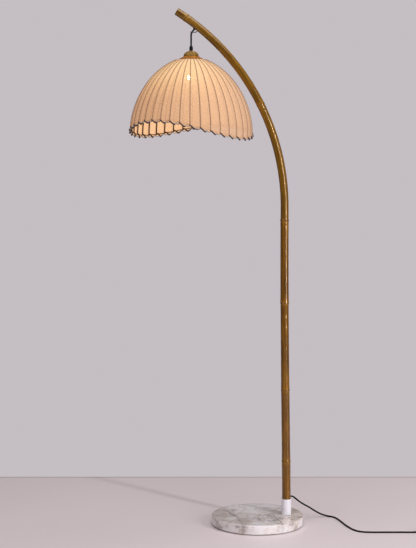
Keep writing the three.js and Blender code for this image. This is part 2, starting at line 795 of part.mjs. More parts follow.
function addFootSwitch(lamp) {
  const pedal = new THREE.Group();
  pedal.position.set(SWITCH_X, SWITCH_Y, 0);
  const half = SWITCH_LENGTH / 2;

  // A flat outline with round corners, for both shells.
  const outline = (length, width, corner) => {
    const x = length / 2 - corner;
    const y = width / 2 - corner;
    return new THREE.Shape()
      .absarc(x, y, corner, 0, Math.PI / 2)
      .absarc(-x, y, corner, Math.PI / 2, Math.PI)
      .absarc(-x, -y, corner, Math.PI, 1.5 * Math.PI)
      .absarc(x, -y, corner, 1.5 * Math.PI, 2 * Math.PI)
      .closePath();
  };
  const slab = (length, width, corner, low, high) =>
    new THREE.ExtrudeGeometry(outline(length, width, corner), {
      depth: high - low,
      bevelEnabled: false,
      curveSegments: 3,
    }).translate(0, 0, low);

  const neck = (side) =>
    new THREE.CylinderGeometry(4.2, 4.2, 10, 16)
      .rotateZ(Math.PI / 2)
      .translate(side * (half + 3), 0, SWITCH_ENTRY_Z);
  const hollow = slab(SWITCH_LENGTH - 4, SWITCH_WIDTH - 4, 8, 2.4, 12);
  const tray = join(slab(SWITCH_LENGTH, SWITCH_WIDTH, 10, 0, 10), neck(1), neck(-1));
  const screwHole = (side) => rod(1.7, -1, 4, 12).translate(side * 27, 0, 0);
  add(pedal, "switch_base", cut(tray, hollow, screwHole(1), screwHole(-1)), BLACK_PLASTIC);

  const lid = join(
    slab(SWITCH_LENGTH, SWITCH_WIDTH, 10, 10 + GAP, 14),
    slab(SWITCH_LENGTH - 6, SWITCH_WIDTH - 6, 8, 13, 18),
    slab(SWITCH_LENGTH - 14, SWITCH_WIDTH - 12, 6, 17, 20),
  );
  const lidHollow = slab(SWITCH_LENGTH - 10, SWITCH_WIDTH - 10, 6, 9, 15);
  const buttonHole = rod(9.4, 9, 30, 24);
  add(pedal, "switch_cover", cut(lid, lidHollow, buttonHole), BLACK_PLASTIC);

  for (const side of [1, -1]) {
    const screw = join(rod(2.6, 2.6, 4.4, 12), rod(1.3, 0.6, 3, 12));
    add(pedal, side > 0 ? "switch_screw_1" : "switch_screw_2", screw, STEEL, [side * 27, 0, 0]);
  }

  const block = closed(new THREE.BoxGeometry(26, 14, 5).translate(0, 0, 5.4));
  add(pedal, "switch_block", block, BRASS);

  const button = turned([
    [0, 12],
    [10.4, 12],
    [10.4, 13.6],
    [9, 13.6],
    [9, 23],
    [8, 24.4],
    [5, 25.1],
    [0, 25.3],
  ]);
  add(pedal, "switch_button", closed(button), BLACK_PLASTIC);

  lamp.add(pedal);
}

function addMainsFlex(lamp) {
  const flex = new THREE.Group();
  add(flex, "mains_cord", closed(tube(flexRoute, FLEX_RADIUS, 8, 52)), BLACK_FLEX);

  const switchEnd = SWITCH_X + SWITCH_LENGTH / 2 + 8 + GAP;
  const tail = spline([
    [switchEnd, SWITCH_Y, SWITCH_ENTRY_Z],
    [switchEnd + 10, SWITCH_Y, 4.4],
    [COIL_X - 25, SWITCH_Y, 4.1],
  ]);
  add(flex, "mains_cord_tail", closed(tube(tail, FLEX_RADIUS, 8, 3)), BLACK_FLEX);

  const inner = COIL_TURN_RADIUS - COIL_HALF_WIDTH;
  const outer = COIL_TURN_RADIUS + COIL_HALF_WIDTH;
  const coil = pipe(outer, inner, COIL_LIFT, COIL_LIFT + COIL_HEIGHT, 32);
  add(flex, "cord_coil", closed(coil), BLACK_FLEX, [COIL_X, COIL_Y, 0]);

  const tieThickness = 1;
  const wrap = new THREE.Shape()
    .moveTo(inner - 2, 0)
    .lineTo(outer + 1.4, 0)
    .lineTo(outer + 1.4, COIL_LIFT + COIL_HEIGHT + tieThickness + GAP)
    .lineTo(inner - 2, COIL_LIFT + COIL_HEIGHT + tieThickness + GAP)
    .closePath();
  wrap.holes.push(
    new THREE.Path()
      .moveTo(inner - 1, tieThickness)
      .lineTo(outer + 0.4, tieThickness)
      .lineTo(outer + 0.4, COIL_LIFT + COIL_HEIGHT + GAP)
      .lineTo(inner - 1, COIL_LIFT + COIL_HEIGHT + GAP)
      .closePath(),
  );
  const tie = new THREE.ExtrudeGeometry(wrap, { depth: 10, bevelEnabled: false })
    .translate(0, 0, -5)
    .rotateX(Math.PI / 2)
    .rotateZ(radians(160));
  add(flex, "coil_tie", closed(tie), FELT, [COIL_X, COIL_Y, 0]);

  const endX = COIL_X + COIL_TURN_RADIUS;
  const toPlug = spline([
    [endX, -53.6, 4.1],
    [endX, -46, 4.7],
    [endX, -36, 7],
    [endX, PLUG_Y - GAP, PLUG_Z],
  ]);
  add(flex, "mains_cord_end", closed(tube(toPlug, FLEX_RADIUS, 8, 4)), BLACK_FLEX);

  const relief = turned([[0, 0], [3.1, 0], [4.6, 17.7], [0, 17.7]], 16);
  relief.rotateX(-Math.PI / 2);
  add(flex, "plug_relief", closed(relief), BLACK_PLASTIC, [endX, PLUG_Y, PLUG_Z]);

  const face = new THREE.Shape()
    .absarc(6, 0, 7.4, -Math.PI / 2, Math.PI / 2)
    .absarc(-6, 0, 7.4, Math.PI / 2, 1.5 * Math.PI)
    .closePath();
  const plug = new THREE.ExtrudeGeometry(face, {
    depth: 28,
    bevelEnabled: true,
    bevelThickness: 2,
    bevelSize: 0.6,
    bevelSegments: 2,
    curveSegments: 8,
  }).rotateX(-Math.PI / 2);
  const bladeSlot = (side) =>
    new THREE.BoxGeometry(2.1, 12, 6.9).translate(side * 6.35, 28, 0);
  const bodyY = PLUG_Y + 18 + 2;
  add(flex, "plug_body", cut(plug, bladeSlot(1), bladeSlot(-1)), BLACK_PLASTIC, [
    endX,
    bodyY,
    PLUG_Z,
  ]);
  for (const side of [1, -1]) {
    const blade = new THREE.BoxGeometry(1.5, 23, 6.3).translate(side * 6.35, 34.5, 0);
    add(flex, side > 0 ? "plug_blade_1" : "plug_blade_2", closed(blade), BRASS, [
      endX,
      bodyY,
      PLUG_Z,
    ]);
  }
  lamp.add(flex);
}

// ---------------------------------------------------------------- the lamp

const lamp = new THREE.Group();
addBase(lamp);
addPole(lamp);
addArch(lamp);
addHook(lamp);

const pendant = new THREE.Group();
pendant.position.x = PENDANT_X;
addPendantFlex(pendant);
addCap(pendant);
addLampholder(pendant);
addBulb(pendant);
addShade(pendant);
lamp.add(pendant);

addFootSwitch(lamp);
addMainsFlex(lamp);

export default lamp;
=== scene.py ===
"""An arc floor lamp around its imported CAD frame: marble disc, varnished bamboo, pleated linen shade.

Metres, +Z up. The origin is the centre of the base's underside and the arch leans to -X.
"""

import math

import bmesh
import bpy
import numpy as np
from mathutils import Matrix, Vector


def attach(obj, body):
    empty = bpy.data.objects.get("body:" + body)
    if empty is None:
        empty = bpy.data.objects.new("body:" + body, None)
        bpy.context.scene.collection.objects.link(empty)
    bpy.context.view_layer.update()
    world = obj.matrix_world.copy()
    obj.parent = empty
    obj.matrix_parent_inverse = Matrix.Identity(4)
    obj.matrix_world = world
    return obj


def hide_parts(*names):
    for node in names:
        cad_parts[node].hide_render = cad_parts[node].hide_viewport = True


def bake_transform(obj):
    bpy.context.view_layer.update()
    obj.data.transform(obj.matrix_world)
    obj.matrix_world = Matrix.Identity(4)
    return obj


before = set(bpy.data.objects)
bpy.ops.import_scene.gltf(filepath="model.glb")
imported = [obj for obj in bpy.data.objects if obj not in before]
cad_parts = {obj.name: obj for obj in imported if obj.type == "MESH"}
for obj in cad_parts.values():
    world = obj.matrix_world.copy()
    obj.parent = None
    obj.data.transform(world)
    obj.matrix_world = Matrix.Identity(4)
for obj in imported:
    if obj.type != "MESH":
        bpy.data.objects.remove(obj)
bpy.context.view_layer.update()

# ---------------------------------------------------------------- driving dimensions, from the CAD

BASE_RADIUS = 0.140
BASE_HEIGHT = 0.030
PAD_THICKNESS = 0.002
BASE_BEVEL = 0.0022
SLEEVE_RADIUS = 0.0150
SLEEVE_TOP = 0.0786
SLEEVE_FLOOR = 0.008
SLEEVE_BORE = 0.0135
SCREW_DIRECTION = (-0.4, 0.92, 0)

POLE_X = 0.0882
POLE_FOOT_Z = 0.044
POLE_NODES_Z = (0.196, 0.415, 0.682)
NODE_RISE = 0.00065
SPIGOT_RADIUS = 0.0076
SPIGOT_REACH = 0.058
SEAM_X = 0.0790
SEAM_Z = 0.936
ARCH_START_Z = 0.970
ARCH_RADIUS = 0.690
ARCH_TURN = math.radians(58.05)
ARCH_NODES = (math.radians(26.6), math.radians(55.2))
FOOT_RADIUS = 0.0131
SEAM_RADIUS = 0.0121
TIP_RADIUS = 0.0115
CANE_BORE = 0.0066
FLEX_TURN = math.radians(51.9)
HOOK_TURN = math.radians(51.0)
PENDANT_X = -0.2024
SWING_Z = 1.484
TILT_Z = 1.468
PENDANT_FLEX_RADIUS = 0.0026
FLEX_CUT_Z = 1.476
GLOBE_RADIUS = 0.0225
GLOBE_Z = 1.3575
CORE_PLACE = (PENDANT_X - 0.0057, 0, 1.3590)
CORE_RADIUS = 0.006
CORE_STRENGTH = 30.0

SHADE_RADIUS = 0.184
SHOULDER_Z = 1.1966
CROWN = 0.2254
SHADE_POWER = 1.85
SHADE_OPENING = 0.046
FABRIC_THICKNESS = 0.0012
PANELS = 38
SEAM_PHASE = math.radians(-0.4)
SHADE_TOP_Z = SHOULDER_Z + CROWN * (1 - (SHADE_OPENING / SHADE_RADIUS) ** SHADE_POWER) ** (1 / SHADE_POWER)
PANEL_SAG = 0.0006
LINEN_ALPHA = 0.70
HEM_Z = 1.2046
HEM_WAVE = 0.0214
HEM_WAVE_PEAK = math.radians(236.4)
HEM_SLANT = -0.0058
PIPING_RADIUS = 0.00125
STITCH_RADIUS = 0.0021
SEAM_THREAD_RADIUS = 0.0006
WIRE_RADIUS = 0.0014
WIRE_DEPTH = 0.0042
TOP_RING_RADIUS = 0.0415
TOP_RING_Z = 1.4112
RIB_RADIUS = 0.0018
HUB_Z = 1.4124

FLEX_RADIUS = 0.0025
EXIT_POINT = Vector((POLE_X, 0, 0.0864))
EXIT_AZIMUTH = math.radians(60)
EXIT_DIP = math.radians(12)
GLAND_LENGTH = 0.0184
GLAND_GROOVES = 5
SWITCH_CENTRE = (0.530, -0.107)
SWITCH_HALF = 0.036
SWITCH_HALF_WIDTH = 0.016
SWITCH_ENTRY_Z = 0.0046
SWITCH_NECK = 0.008
COIL_CENTRE = (0.622, -0.079)
COIL_TURN_RADIUS = 0.028
COIL_LIFT = 0.0014
PLUG_Y = -0.024
PLUG_Z = 0.008
TIE_TURN = math.radians(160)
TIE_HALF_WIDTH = 0.005
TIE_HALF_THICKNESS = 0.0005
GAP = 0.0003

FLOOR_EDGE_Y = 0.64
FLOOR_SHADE = (0.72, 0.645, 0.655, 1)
BACKDROP_SHADE = (0.558, 0.518, 0.545, 1)
SKY_STRENGTH = 0.30

exit_direction = Vector(
    (
        math.cos(EXIT_AZIMUTH) * math.cos(EXIT_DIP),
        math.sin(EXIT_AZIMUTH) * math.cos(EXIT_DIP),
        -math.sin(EXIT_DIP),
    )
)

# ---------------------------------------------------------------- camera

CAMERA_PLACE = (-0.152, -4.2507, 1.1198)
CAMERA_PITCH = math.radians(4.706)
CAMERA_LENS = 92.57


def add_camera():
    data = bpy.data.cameras.new("camera")
    data.lens = CAMERA_LENS
    data.sensor_width = 36
    data.clip_end = 60
    camera = bpy.data.objects.new("camera", data)
    camera.location = CAMERA_PLACE
    camera.rotation_euler = (math.pi / 2 - CAMERA_PITCH, 0, 0)
    bpy.context.scene.collection.objects.link(camera)
    bpy.context.scene.camera = camera


# ---------------------------------------------------------------- lines


def smooth_line(points, per_span=8):
    """A centripetal Catmull-Rom line through the points, as the CAD's cords follow."""
    p = [np.array(point, float) for point in points]
    p = [2 * p[0] - p[1], *p, 2 * p[-1] - p[-2]]
    line = []
    for a, b, c, d in zip(p, p[1:], p[2:], p[3:]):
        before, along, after = (
            max(float(np.linalg.norm(v - u)) ** 0.5, 1e-6) for u, v in ((a, b), (b, c), (c, d))
        )
        start = (b - a) / before - (c - a) / (before + along) + (c - b) / along
        end = (c - b) / along - (d - b) / (along + after) + (d - c) / after
        for i in range(per_span):
            t = i / per_span
            line.append(
                (2 * t**3 - 3 * t**2 + 1) * b
                + (t**3 - 2 * t**2 + t) * start * along
                + (3 * t**2 - 2 * t**3) * c
                + (t**3 - t**2) * end * along
            )
    return [*line, p[-2]]


def eased(t):
    t = min(1.0, max(0.0, t))
    return t * t * (3 - 2 * t)


def under_arch(turn, depth):
    """A point a given depth below the arch's centre line, towards the centre of its curve."""
    reach = ARCH_RADIUS - depth
    x = SEAM_X - ARCH_RADIUS + reach * math.cos(turn)
    return (x, 0.0, ARCH_START_Z + reach * math.sin(turn))


def link(name, data):
    piece = bpy.data.objects.new(name, data)
    bpy.context.scene.collection.objects.link(piece)
    return piece


# ---------------------------------------------------------------- meshes


def ring_faces(counts, loop):
    """The faces between rings of points, where a ring of one point closes an end."""
    starts = np.concatenate([[0], np.cumsum(counts)]).tolist()
    pairs = list(zip(range(len(counts)), range(1, len(counts))))
    if loop:
        pairs.append((len(counts) - 1, 0))
    faces = []
    for a, b in pairs:
        around = max(counts[a], counts[b])
        for i in range(around):
            j = (i + 1) % around
            low = (i, j) if counts[a] > 1 else (0, 0)
            high = (i, j) if counts[b] > 1 else (0, 0)
            corners = [starts[a] + low[0], starts[a] + low[1], starts[b] + high[1], starts[b] + high[0]]
            face = list(dict.fromkeys(corners))
            if len(face) > 2:
                faces.append(face)
    return faces


def mesh_piece(name, points, faces, grain=None):
    """A smooth-shaded mesh whose faces point out. grain is where its wood or cloth would lie unbent."""
    data = bpy.data.meshes.new(name)
    data.from_pydata([tuple(map(float, point)) for point in points], [], faces)
    shape = bmesh.new()
    shape.from_mesh(data)
    bmesh.ops.recalc_face_normals(shape, faces=shape.faces)
    shape.to_mesh(data)
    shape.free()
    data.polygons.foreach_set("use_smooth", [True] * len(data.polygons))
    if grain is not None:
        layer = data.attributes.new("grain", "FLOAT_VECTOR", "POINT")
        layer.data.foreach_set("vector", np.array(grain, np.float32).ravel())
    return link(name, data)


def ring_piece(name, rings, loop=False, grain=None):
    points = [point for ring in rings for point in ring]
    return mesh_piece(name, points, ring_faces([len(ring) for ring in rings], loop), grain)


def softened(profile, radius, steps=3):
    """A profile with its corners rounded, and a point each side that keeps the flats flat."""
    closed = profile[0] == profile[-1]
    p = [np.array(point, float) for point in (profile[:-1] if closed else profile)]
    made = [] if closed else [p[0]]
    corners = range(len(p)) if closed else range(1, len(p) - 1)
    for k in corners:
        before, here, after = p[k - 1], p[k], p[(k + 1) % len(p)]
        back, ahead = before - here, after - here
        reach = min(radius, 0.4 * np.linalg.norm(back), 0.4 * np.linalg.norm(ahead))
        back /= np.linalg.norm(back)
        ahead /= np.linalg.norm(ahead)
        if float(back @ ahead) < -0.96:
            made.append(here)
            continue
        made.append(here + back * 1.15 * reach)
        for i in range(steps + 1):
            t = i / steps
            made.append(here + back * reach * (1 - t) ** 2 + ahead * reach * t**2)
        made.append(here + ahead * 1.15 * reach)
    if not closed:
        made.append(p[-1])
    else:
        made.append(made[0])
    return made


def turned(name, profile, sides=64, place=(0, 0, 0), direction=(0, 0, 1)):
    """A body turned about a direction from (radius, height) points."""
    turn = Vector((0, 0, 1)).rotation_difference(Vector(direction))
    closed = np.allclose(profile[0], profile[-1])
    rings = []
    for radius, height in profile[:-1] if closed else profile:
        angles = [2 * math.pi * i / sides for i in range(sides)] if radius > 1e-7 else [0]
        rings.append(
            [
                Vector(place) + turn @ Vector((radius * math.cos(a), radius * math.sin(a), height))
                for a in angles
            ]
        )
    return ring_piece(name, rings, loop=closed)


def tube_rings(line, radius, sides, closed=False):
    """Rings round a line that turn as little as they can. radius is a number or one for each point."""
    line = [np.array(point, float) for point in line]
    radii = radius if hasattr(radius, "__len__") else [radius] * len(line)
    ahead = [b - a for a, b in zip(line, line[1:])]
    ahead = [(a + b) / 2 for a, b in zip([ahead[0], *ahead], [*ahead, ahead[-1]])]
    if closed:
        ahead = [line[(i + 1) % len(line)] - line[i - 1] for i in range(len(line))]
    first = ahead[0] / np.linalg.norm(ahead[0])
    aside = np.cross(first, (0, 0, 1) if abs(first[2]) < 0.9 else (0, 1, 0))
    rings = []
    for point, along, size in zip(line, ahead, radii):
        along = along / np.linalg.norm(along)
        aside = aside - along * (aside @ along)
        aside /= np.linalg.norm(aside)
        other = np.cross(along, aside)
        rings.append(
            [
                point + size * (math.cos(a) * aside + math.sin(a) * other)
                for a in (2 * math.pi * i / sides for i in range(sides))
            ]
        )
    return rings


def tube_piece(name, line, radius, sides=12, closed=False):
    rings = tube_rings(line, radius, sides, closed)
    if not closed:
        rings = [[line[0]], *rings, [line[-1]]]
    return ring_piece(name, rings, loop=closed)


def joined_piece(name, parts):
    """One mesh of several sets of rings, each (rings, whether it is a loop)."""
    points, faces = [], []
    for rings, loop in parts:
        start = len(points)
        points += [point for ring in rings for point in ring]
        faces += [[start + i for i in face] for face in ring_faces([len(r) for r in rings], loop)]
    return mesh_piece(name, points, faces)


# ---------------------------------------------------------------- cords

gland_tip = EXIT_POINT + exit_direction * (FOOT_RADIUS + GLAND_LENGTH + GAP)
FLOOR_FLEX_Z = FLEX_RADIUS + 0.0001
SWITCH_Y = SWITCH_CENTRE[1]

FLEX_ROUTE = [
    tuple(gland_tip),
    tuple(gland_tip + exit_direction * 0.004),
    (0.1120, 0.0376, 0.0756),
    (0.1205, 0.0445, 0.0675),
    (0.1310, 0.0505, 0.0578),
    (0.1460, 0.0585, 0.0465),
    (0.1620, 0.0660, 0.0361),
    (0.1760, 0.0725, 0.0260),
    (0.1890, 0.0780, 0.0168),
    (0.2050, 0.0820, 0.0085),
    (0.2230, 0.0820, 0.0034),
    (0.2380, 0.0740, FLOOR_FLEX_Z),
    (0.2470, 0.0580, FLOOR_FLEX_Z),
    (0.2530, 0.0380, FLOOR_FLEX_Z),
    (0.2600, 0.0100, FLOOR_FLEX_Z),
    (0.2670, -0.0200, FLOOR_FLEX_Z),
    (0.2750, -0.0480, FLOOR_FLEX_Z),
    (0.2840, -0.0720, FLOOR_FLEX_Z),
    (0.2960, -0.0920, FLOOR_FLEX_Z),
    (0.3130, -0.1035, FLOOR_FLEX_Z),
    (0.3350, SWITCH_Y, FLOOR_FLEX_Z),
    (0.3750, SWITCH_Y, FLOOR_FLEX_Z),
    (0.4250, SWITCH_Y, FLOOR_FLEX_Z),
    (0.4620, SWITCH_Y, FLOOR_FLEX_Z),
    (0.4800, SWITCH_Y, 0.0039),
    (SWITCH_CENTRE[0] - SWITCH_HALF - SWITCH_NECK - GAP, SWITCH_Y, 0.0046),
]

# Where each turn of the coil changes its place in the section: (turns from the start, radius, height).
COIL_ROWS = (COIL_LIFT + FLEX_RADIUS, COIL_LIFT + 3 * FLEX_RADIUS)
COIL_PLACES = [
    (0.00, 1, 0),
    (0.83, 1, 0),
    (1.00, 0, 0),
    (1.83, 0, 0),
    (2.00, -1, 0),
    (2.50, -1, 0),
    (2.67, -1, 1),
    (3.33, -1, 1),
    (3.50, 0, 1),
    (4.33, 0, 1),
    (4.50, 1, 1),
    (5.25, 1, 1),
]
COIL_STEPS_PER_TURN = 36


def coil_line():
    """The spare flex: three turns out to in along the floor, and back out on top of them."""
    line = []
    last = COIL_PLACES[-1][0]
    for i in range(round(last * COIL_STEPS_PER_TURN) + 1):
        turn = i / COIL_STEPS_PER_TURN
        after = next(k for k, place in enumerate(COIL_PLACES) if place[0] >= turn or k == len(COIL_PLACES) - 1)
        after = max(1, after)
        (t0, column0, row0), (t1, column1, row1) = COIL_PLACES[after - 1], COIL_PLACES[after]
        share = eased((turn - t0) / (t1 - t0))
        radius = COIL_TURN_RADIUS + 2 * FLEX_RADIUS * (column0 + (column1 - column0) * share)
        height = COIL_ROWS[0] + 2 * FLEX_RADIUS * (row0 + (row1 - row0) * share)
        angle = 2 * math.pi * (turn - 0.25)
        line.append(
            (
                COIL_CENTRE[0] + radius * math.cos(angle),
                COIL_CENTRE[1] + radius * math.sin(angle),
                height,
            )
        )
    return line


def spare_line():
    """From the switch into the coil, round it, and out to the plug."""
    start_x = SWITCH_CENTRE[0] + SWITCH_HALF + SWITCH_NECK + GAP
    end_x = COIL_CENTRE[0] + COIL_TURN_RADIUS
    coil = coil_line()
    way_in = [
        (start_x, SWITCH_Y, 0.0046),
        (start_x + 0.010, SWITCH_Y, 0.0044),
        (0.5970, -0.1083, 0.0041),
        (0.6080, -0.1106, 0.0039),
        coil[0],
        coil[2],
    ]
    way_out = [
        coil[-3],
        coil[-1],
        (0.6545, -0.0700, 0.0086),
        (0.6530, -0.0620, 0.0074),
        (0.6513, -0.0550, 0.0062),
        (0.6503, -0.0480, 0.0058),
        (end_x, -0.0400, 0.0066),
        (end_x, -0.0320, 0.0077),
        (end_x, PLUG_Y - GAP, PLUG_Z),
    ]
    return [*smooth_line(way_in)[:-8], *coil[:-2], *smooth_line(way_out)[8:]]


def add_cord(name, line, nodes):
    cord = tube_piece(name, line, FLEX_RADIUS, 16)
    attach(cord, "base")
    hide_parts(*nodes)
    return cord


def add_mains_flex():
    """The flex from the gland to the foot switch, and the spare flex from there to the plug."""
    coil = ["mains_cord_tail", "cord_coil", "mains_cord_end"]
    visible = add_cord("mains_flex", smooth_line(FLEX_ROUTE), ["mains_cord"])
    return [visible, add_cord("spare_flex", spare_line(), coil)]


def piece(obj, body, slot, *nodes):
    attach(obj, body)
    if nodes:
        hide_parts(*nodes)
    return obj


def paint(obj, *materials):
    obj.data.materials.clear()
    for material in materials:
        obj.data.materials.append(material)


# ---------------------------------------------------------------- material nodes


def node(tree, kind, inputs=None, **settings):
    made = tree.nodes.new(kind)
    for key, value in settings.items():
        setattr(made, key, value)
    for key, value in (inputs or {}).items():
        if isinstance(value, bpy.types.NodeSocket):
            tree.links.new(value, made.inputs[key])
        else:
            made.inputs[key].default_value = value
    return made


def colour(red, green, blue):
    return (red, green, blue, 1)


def shader_of(name, base, roughness, metallic=0.0, coat=0.0, coat_roughness=0.1, specular=0.5):
    material = bpy.data.materials.new(name)
    material.use_nodes = True
    tree = material.node_tree
    shader = tree.nodes["Principled BSDF"]
    shader.inputs["Base Color"].default_value = base
    shader.inputs["Roughness"].default_value = roughness
    shader.inputs["Metallic"].default_value = metallic
    shader.inputs["Coat Weight"].default_value = coat
    shader.inputs["Coat Roughness"].default_value = coat_roughness
    shader.inputs["Specular IOR Level"].default_value = specular
    return material, tree, shader


def object_place(tree):
    return node(tree, "ShaderNodeTexCoord").outputs["Object"]


def grain_place(tree, name="grain"):
    return node(tree, "ShaderNodeAttribute", attribute_name=name).outputs["Vector"]


def scaled(tree, vector, scale, shift=(0, 0, 0)):
    inputs = {"Vector": vector, "Scale": scale, "Location": shift}
    return node(tree, "ShaderNodeMapping", inputs).outputs["Vector"]


def noise(tree, vector, scale, detail=3.0, roughness=0.5, distortion=0.0):
    inputs = {
        "Vector": vector,
        "Scale": scale,
        "Detail": detail,
        "Roughness": roughness,
        "Distortion": distortion,
    }
    return node(tree, "ShaderNodeTexNoise", inputs).outputs["Fac"]


def ramp(tree, factor, *stops):
    made = node(tree, "ShaderNodeValToRGB", {"Fac": factor})
    elements = made.color_ramp.elements
    while len(elements) < len(stops):
        elements.new(1)
    for element, (place, shade) in zip(elements, stops):
        element.position = place
        element.color = shade if hasattr(shade, "__len__") else colour(shade, shade, shade)
    return made.outputs["Color"]


def mixed(tree, factor, a, b, blend="MIX"):
    made = node(tree, "ShaderNodeMix", data_type="RGBA", blend_type=blend)
    for socket, value in zip((made.inputs[0], made.inputs[6], made.inputs[7]), (factor, a, b)):
        if isinstance(value, bpy.types.NodeSocket):
            tree.links.new(value, socket)
        else:
            socket.default_value = value
    return made.outputs[2]


def maths(tree, operation, a, b=0.0, clamp=False):
    made = node(tree, "ShaderNodeMath", {0: a, 1: b}, operation=operation)
    made.use_clamp = clamp
    return made.outputs[0]


def span(tree, value, low, high):
    """0 where a value is at low and 1 where it is at high, smoothly."""
    inputs = {"Value": value, "From Min": low, "From Max": high}
    made = node(tree, "ShaderNodeMapRange", inputs, interpolation_type="SMOOTHSTEP")
    return made.outputs["Result"]


def apart(tree, vector):
    made = node(tree, "ShaderNodeSeparateXYZ", {"Vector": vector})
    return made.outputs["X"], made.outputs["Y"], made.outputs["Z"]


def distance_to(tree, vector, place):
    made = node(tree, "ShaderNodeVectorMath", {0: vector, 1: place}, operation="DISTANCE")
    return made.outputs["Value"]


def bumped(tree, shader, height, depth, strength=1.0, under=None):
    inputs = {"Height": height, "Distance": depth, "Strength": strength}
    if under is not None:
        inputs["Normal"] = under
    made = node(tree, "ShaderNodeBump", inputs).outputs["Normal"]
    tree.links.new(made, shader.inputs["Normal"])
    return made


def wired(tree, shader, **sockets):
    for name, socket in sockets.items():
        tree.links.new(socket, shader.inputs[name.replace("_", " ").title()])


# ---------------------------------------------------------------- materials


def bent_place(tree, vector, scale, amount):
    """A vector pushed about by noise, so that what is drawn on it wanders."""
    inputs = {"Vector": vector, "Scale": scale, "Detail": 4.0}
    push = node(tree, "ShaderNodeTexNoise", inputs).outputs["Color"]
    inputs = {0: push, 1: (amount,) * 3, 2: vector}
    return node(tree, "ShaderNodeVectorMath", inputs, operation="MULTIPLY_ADD").outputs["Vector"]


def vein(tree, place, start, end, width):
    """1 along a line from start to end across the disc, 0 away from it."""
    start, end = Vector(start), Vector(end)
    along = (end - start).normalized()
    across = Vector((-along.y, along.x, 0))
    middle = (start + end) / 2
    half = (end - start).length / 2
    inputs = {0: place, 1: tuple(across)}
    off = node(tree, "ShaderNodeVectorMath", inputs, operation="DOT_PRODUCT").outputs["Value"]
    off = maths(tree, "ABSOLUTE", maths(tree, "SUBTRACT", off, across.dot(start)))
    near = span(tree, off, width, 0.0)
    reach = span(tree, distance_to(tree, place, (middle.x, middle.y, 0.03)), 1.35 * half, 0.85 * half)
    return maths(tree, "MULTIPLY", near, reach)


def marble_material():
    material, tree, shader = shader_of(
        "polished_marble", colour(0.8, 0.76, 0.76), 0.17, coat=0.35, coat_roughness=0.05
    )
    place = object_place(tree)
    wander = bent_place(tree, place, 15.0, 0.075)
    clouds = ramp(
        tree,
        noise(tree, wander, 9.0, 6.0, 0.62),
        (0.30, colour(0.34, 0.280, 0.250)),
        (0.45, colour(0.58, 0.520, 0.495)),
        (0.56, colour(0.77, 0.735, 0.74)),
        (0.75, colour(0.88, 0.86, 0.88)),
    )
    warm = span(tree, noise(tree, scaled(tree, wander, (1, 1, 1), (2.3, 0.4, 0.1)), 7.0, 3.0), 0.50, 0.66)
    clouds = mixed(tree, maths(tree, "MULTIPLY", warm, 0.55), clouds, colour(0.62, 0.50, 0.38))
    ridge = noise(tree, wander, 6.5, 5.0, 0.55)
    ridge = maths(tree, "ABSOLUTE", maths(tree, "SUBTRACT", ridge, 0.5))
    fade = span(tree, noise(tree, place, 11.0, 2.0), 0.40, 0.62)
    thin = maths(tree, "MULTIPLY", span(tree, ridge, 0.020, 0.0), fade)
    clouds = mixed(tree, maths(tree, "MULTIPLY", thin, 0.75), clouds, colour(0.20, 0.15, 0.15))
    ochre = noise(tree, scaled(tree, wander, (1, 1, 1), (5.1, 3.3, 0.7)), 12.0, 4.0)
    ochre = span(tree, maths(tree, "ABSOLUTE", maths(tree, "SUBTRACT", ochre, 0.5)), 0.018, 0.0)
    clouds = mixed(tree, maths(tree, "MULTIPLY", ochre, 0.45), clouds, colour(0.42, 0.27, 0.12))
    slight = bent_place(tree, place, 42.0, 0.022)
    for start, end, width, depth in (
        ((0.032, 0.012, 0.03), (0.062, -0.022, 0.03), 0.0050, 0.60),
        ((0.062, -0.022, 0.03), (0.088, -0.120, 0.03), 0.0034, 0.80),
        ((0.034, -0.060, 0.03), (0.084, -0.114, 0.03), 0.0040, 0.80),
        ((-0.088, 0.060, 0.03), (-0.052, -0.020, 0.03), 0.0060, 0.62),
        ((-0.052, -0.020, 0.03), (-0.036, -0.118, 0.03), 0.0045, 0.36),
        ((-0.104, 0.010, 0.03), (-0.060, 0.030, 0.03), 0.0050, 0.55),
    ):
        line = maths(tree, "MULTIPLY", vein(tree, slight, start, end, width), depth)
        clouds = mixed(tree, line, clouds, colour(0.17, 0.11, 0.11))
    chips = noise(tree, bent_place(tree, place, 30.0, 0.02), 30.0, 4.0, 0.6)
    # The tone of the slab's side: painted paler than the top for the light that falls on it, with its own chips and
    # rust line.
    rim = ramp(
        tree,
        chips,
        (0.36, colour(0.30, 0.27, 0.26)),
        (0.44, colour(0.66, 0.60, 0.57)),
        (0.50, colour(0.90, 0.87, 0.89)),
        (0.62, colour(0.94, 0.93, 0.96)),
    )
    rust = span(tree, maths(tree, "ABSOLUTE", maths(tree, "SUBTRACT", chips, 0.53)), 0.012, 0.0)
    rim = mixed(tree, maths(tree, "MULTIPLY", rust, 0.55), rim, colour(0.48, 0.32, 0.16))
    _, _, z = apart(tree, place)
    # The side below the top edge takes the paler tone, a painted lighter side.
    painted_pale_side = maths(tree, "MULTIPLY", span(tree, z, BASE_HEIGHT - 0.001, BASE_HEIGHT - 0.003), 0.62)
    clouds = mixed(tree, painted_pale_side, clouds, rim)
    wired(tree, shader, base_color=clouds)
    bumped(tree, shader, noise(tree, place, 900.0, 2.0), 0.00004, 0.4)
    return material


def felt_material(name, dark, pale):
    material, tree, shader = shader_of(name, pale, 0.95, specular=0.1)
    shader.inputs["Sheen Weight"].default_value = 0.4
    fibre = noise(tree, object_place(tree), 1600.0, 4.0, 0.7)
    wired(tree, shader, base_color=ramp(tree, fibre, (0.3, dark), (0.7, pale)))
    bumped(tree, shader, fibre, 0.0004, 0.8)
    return material


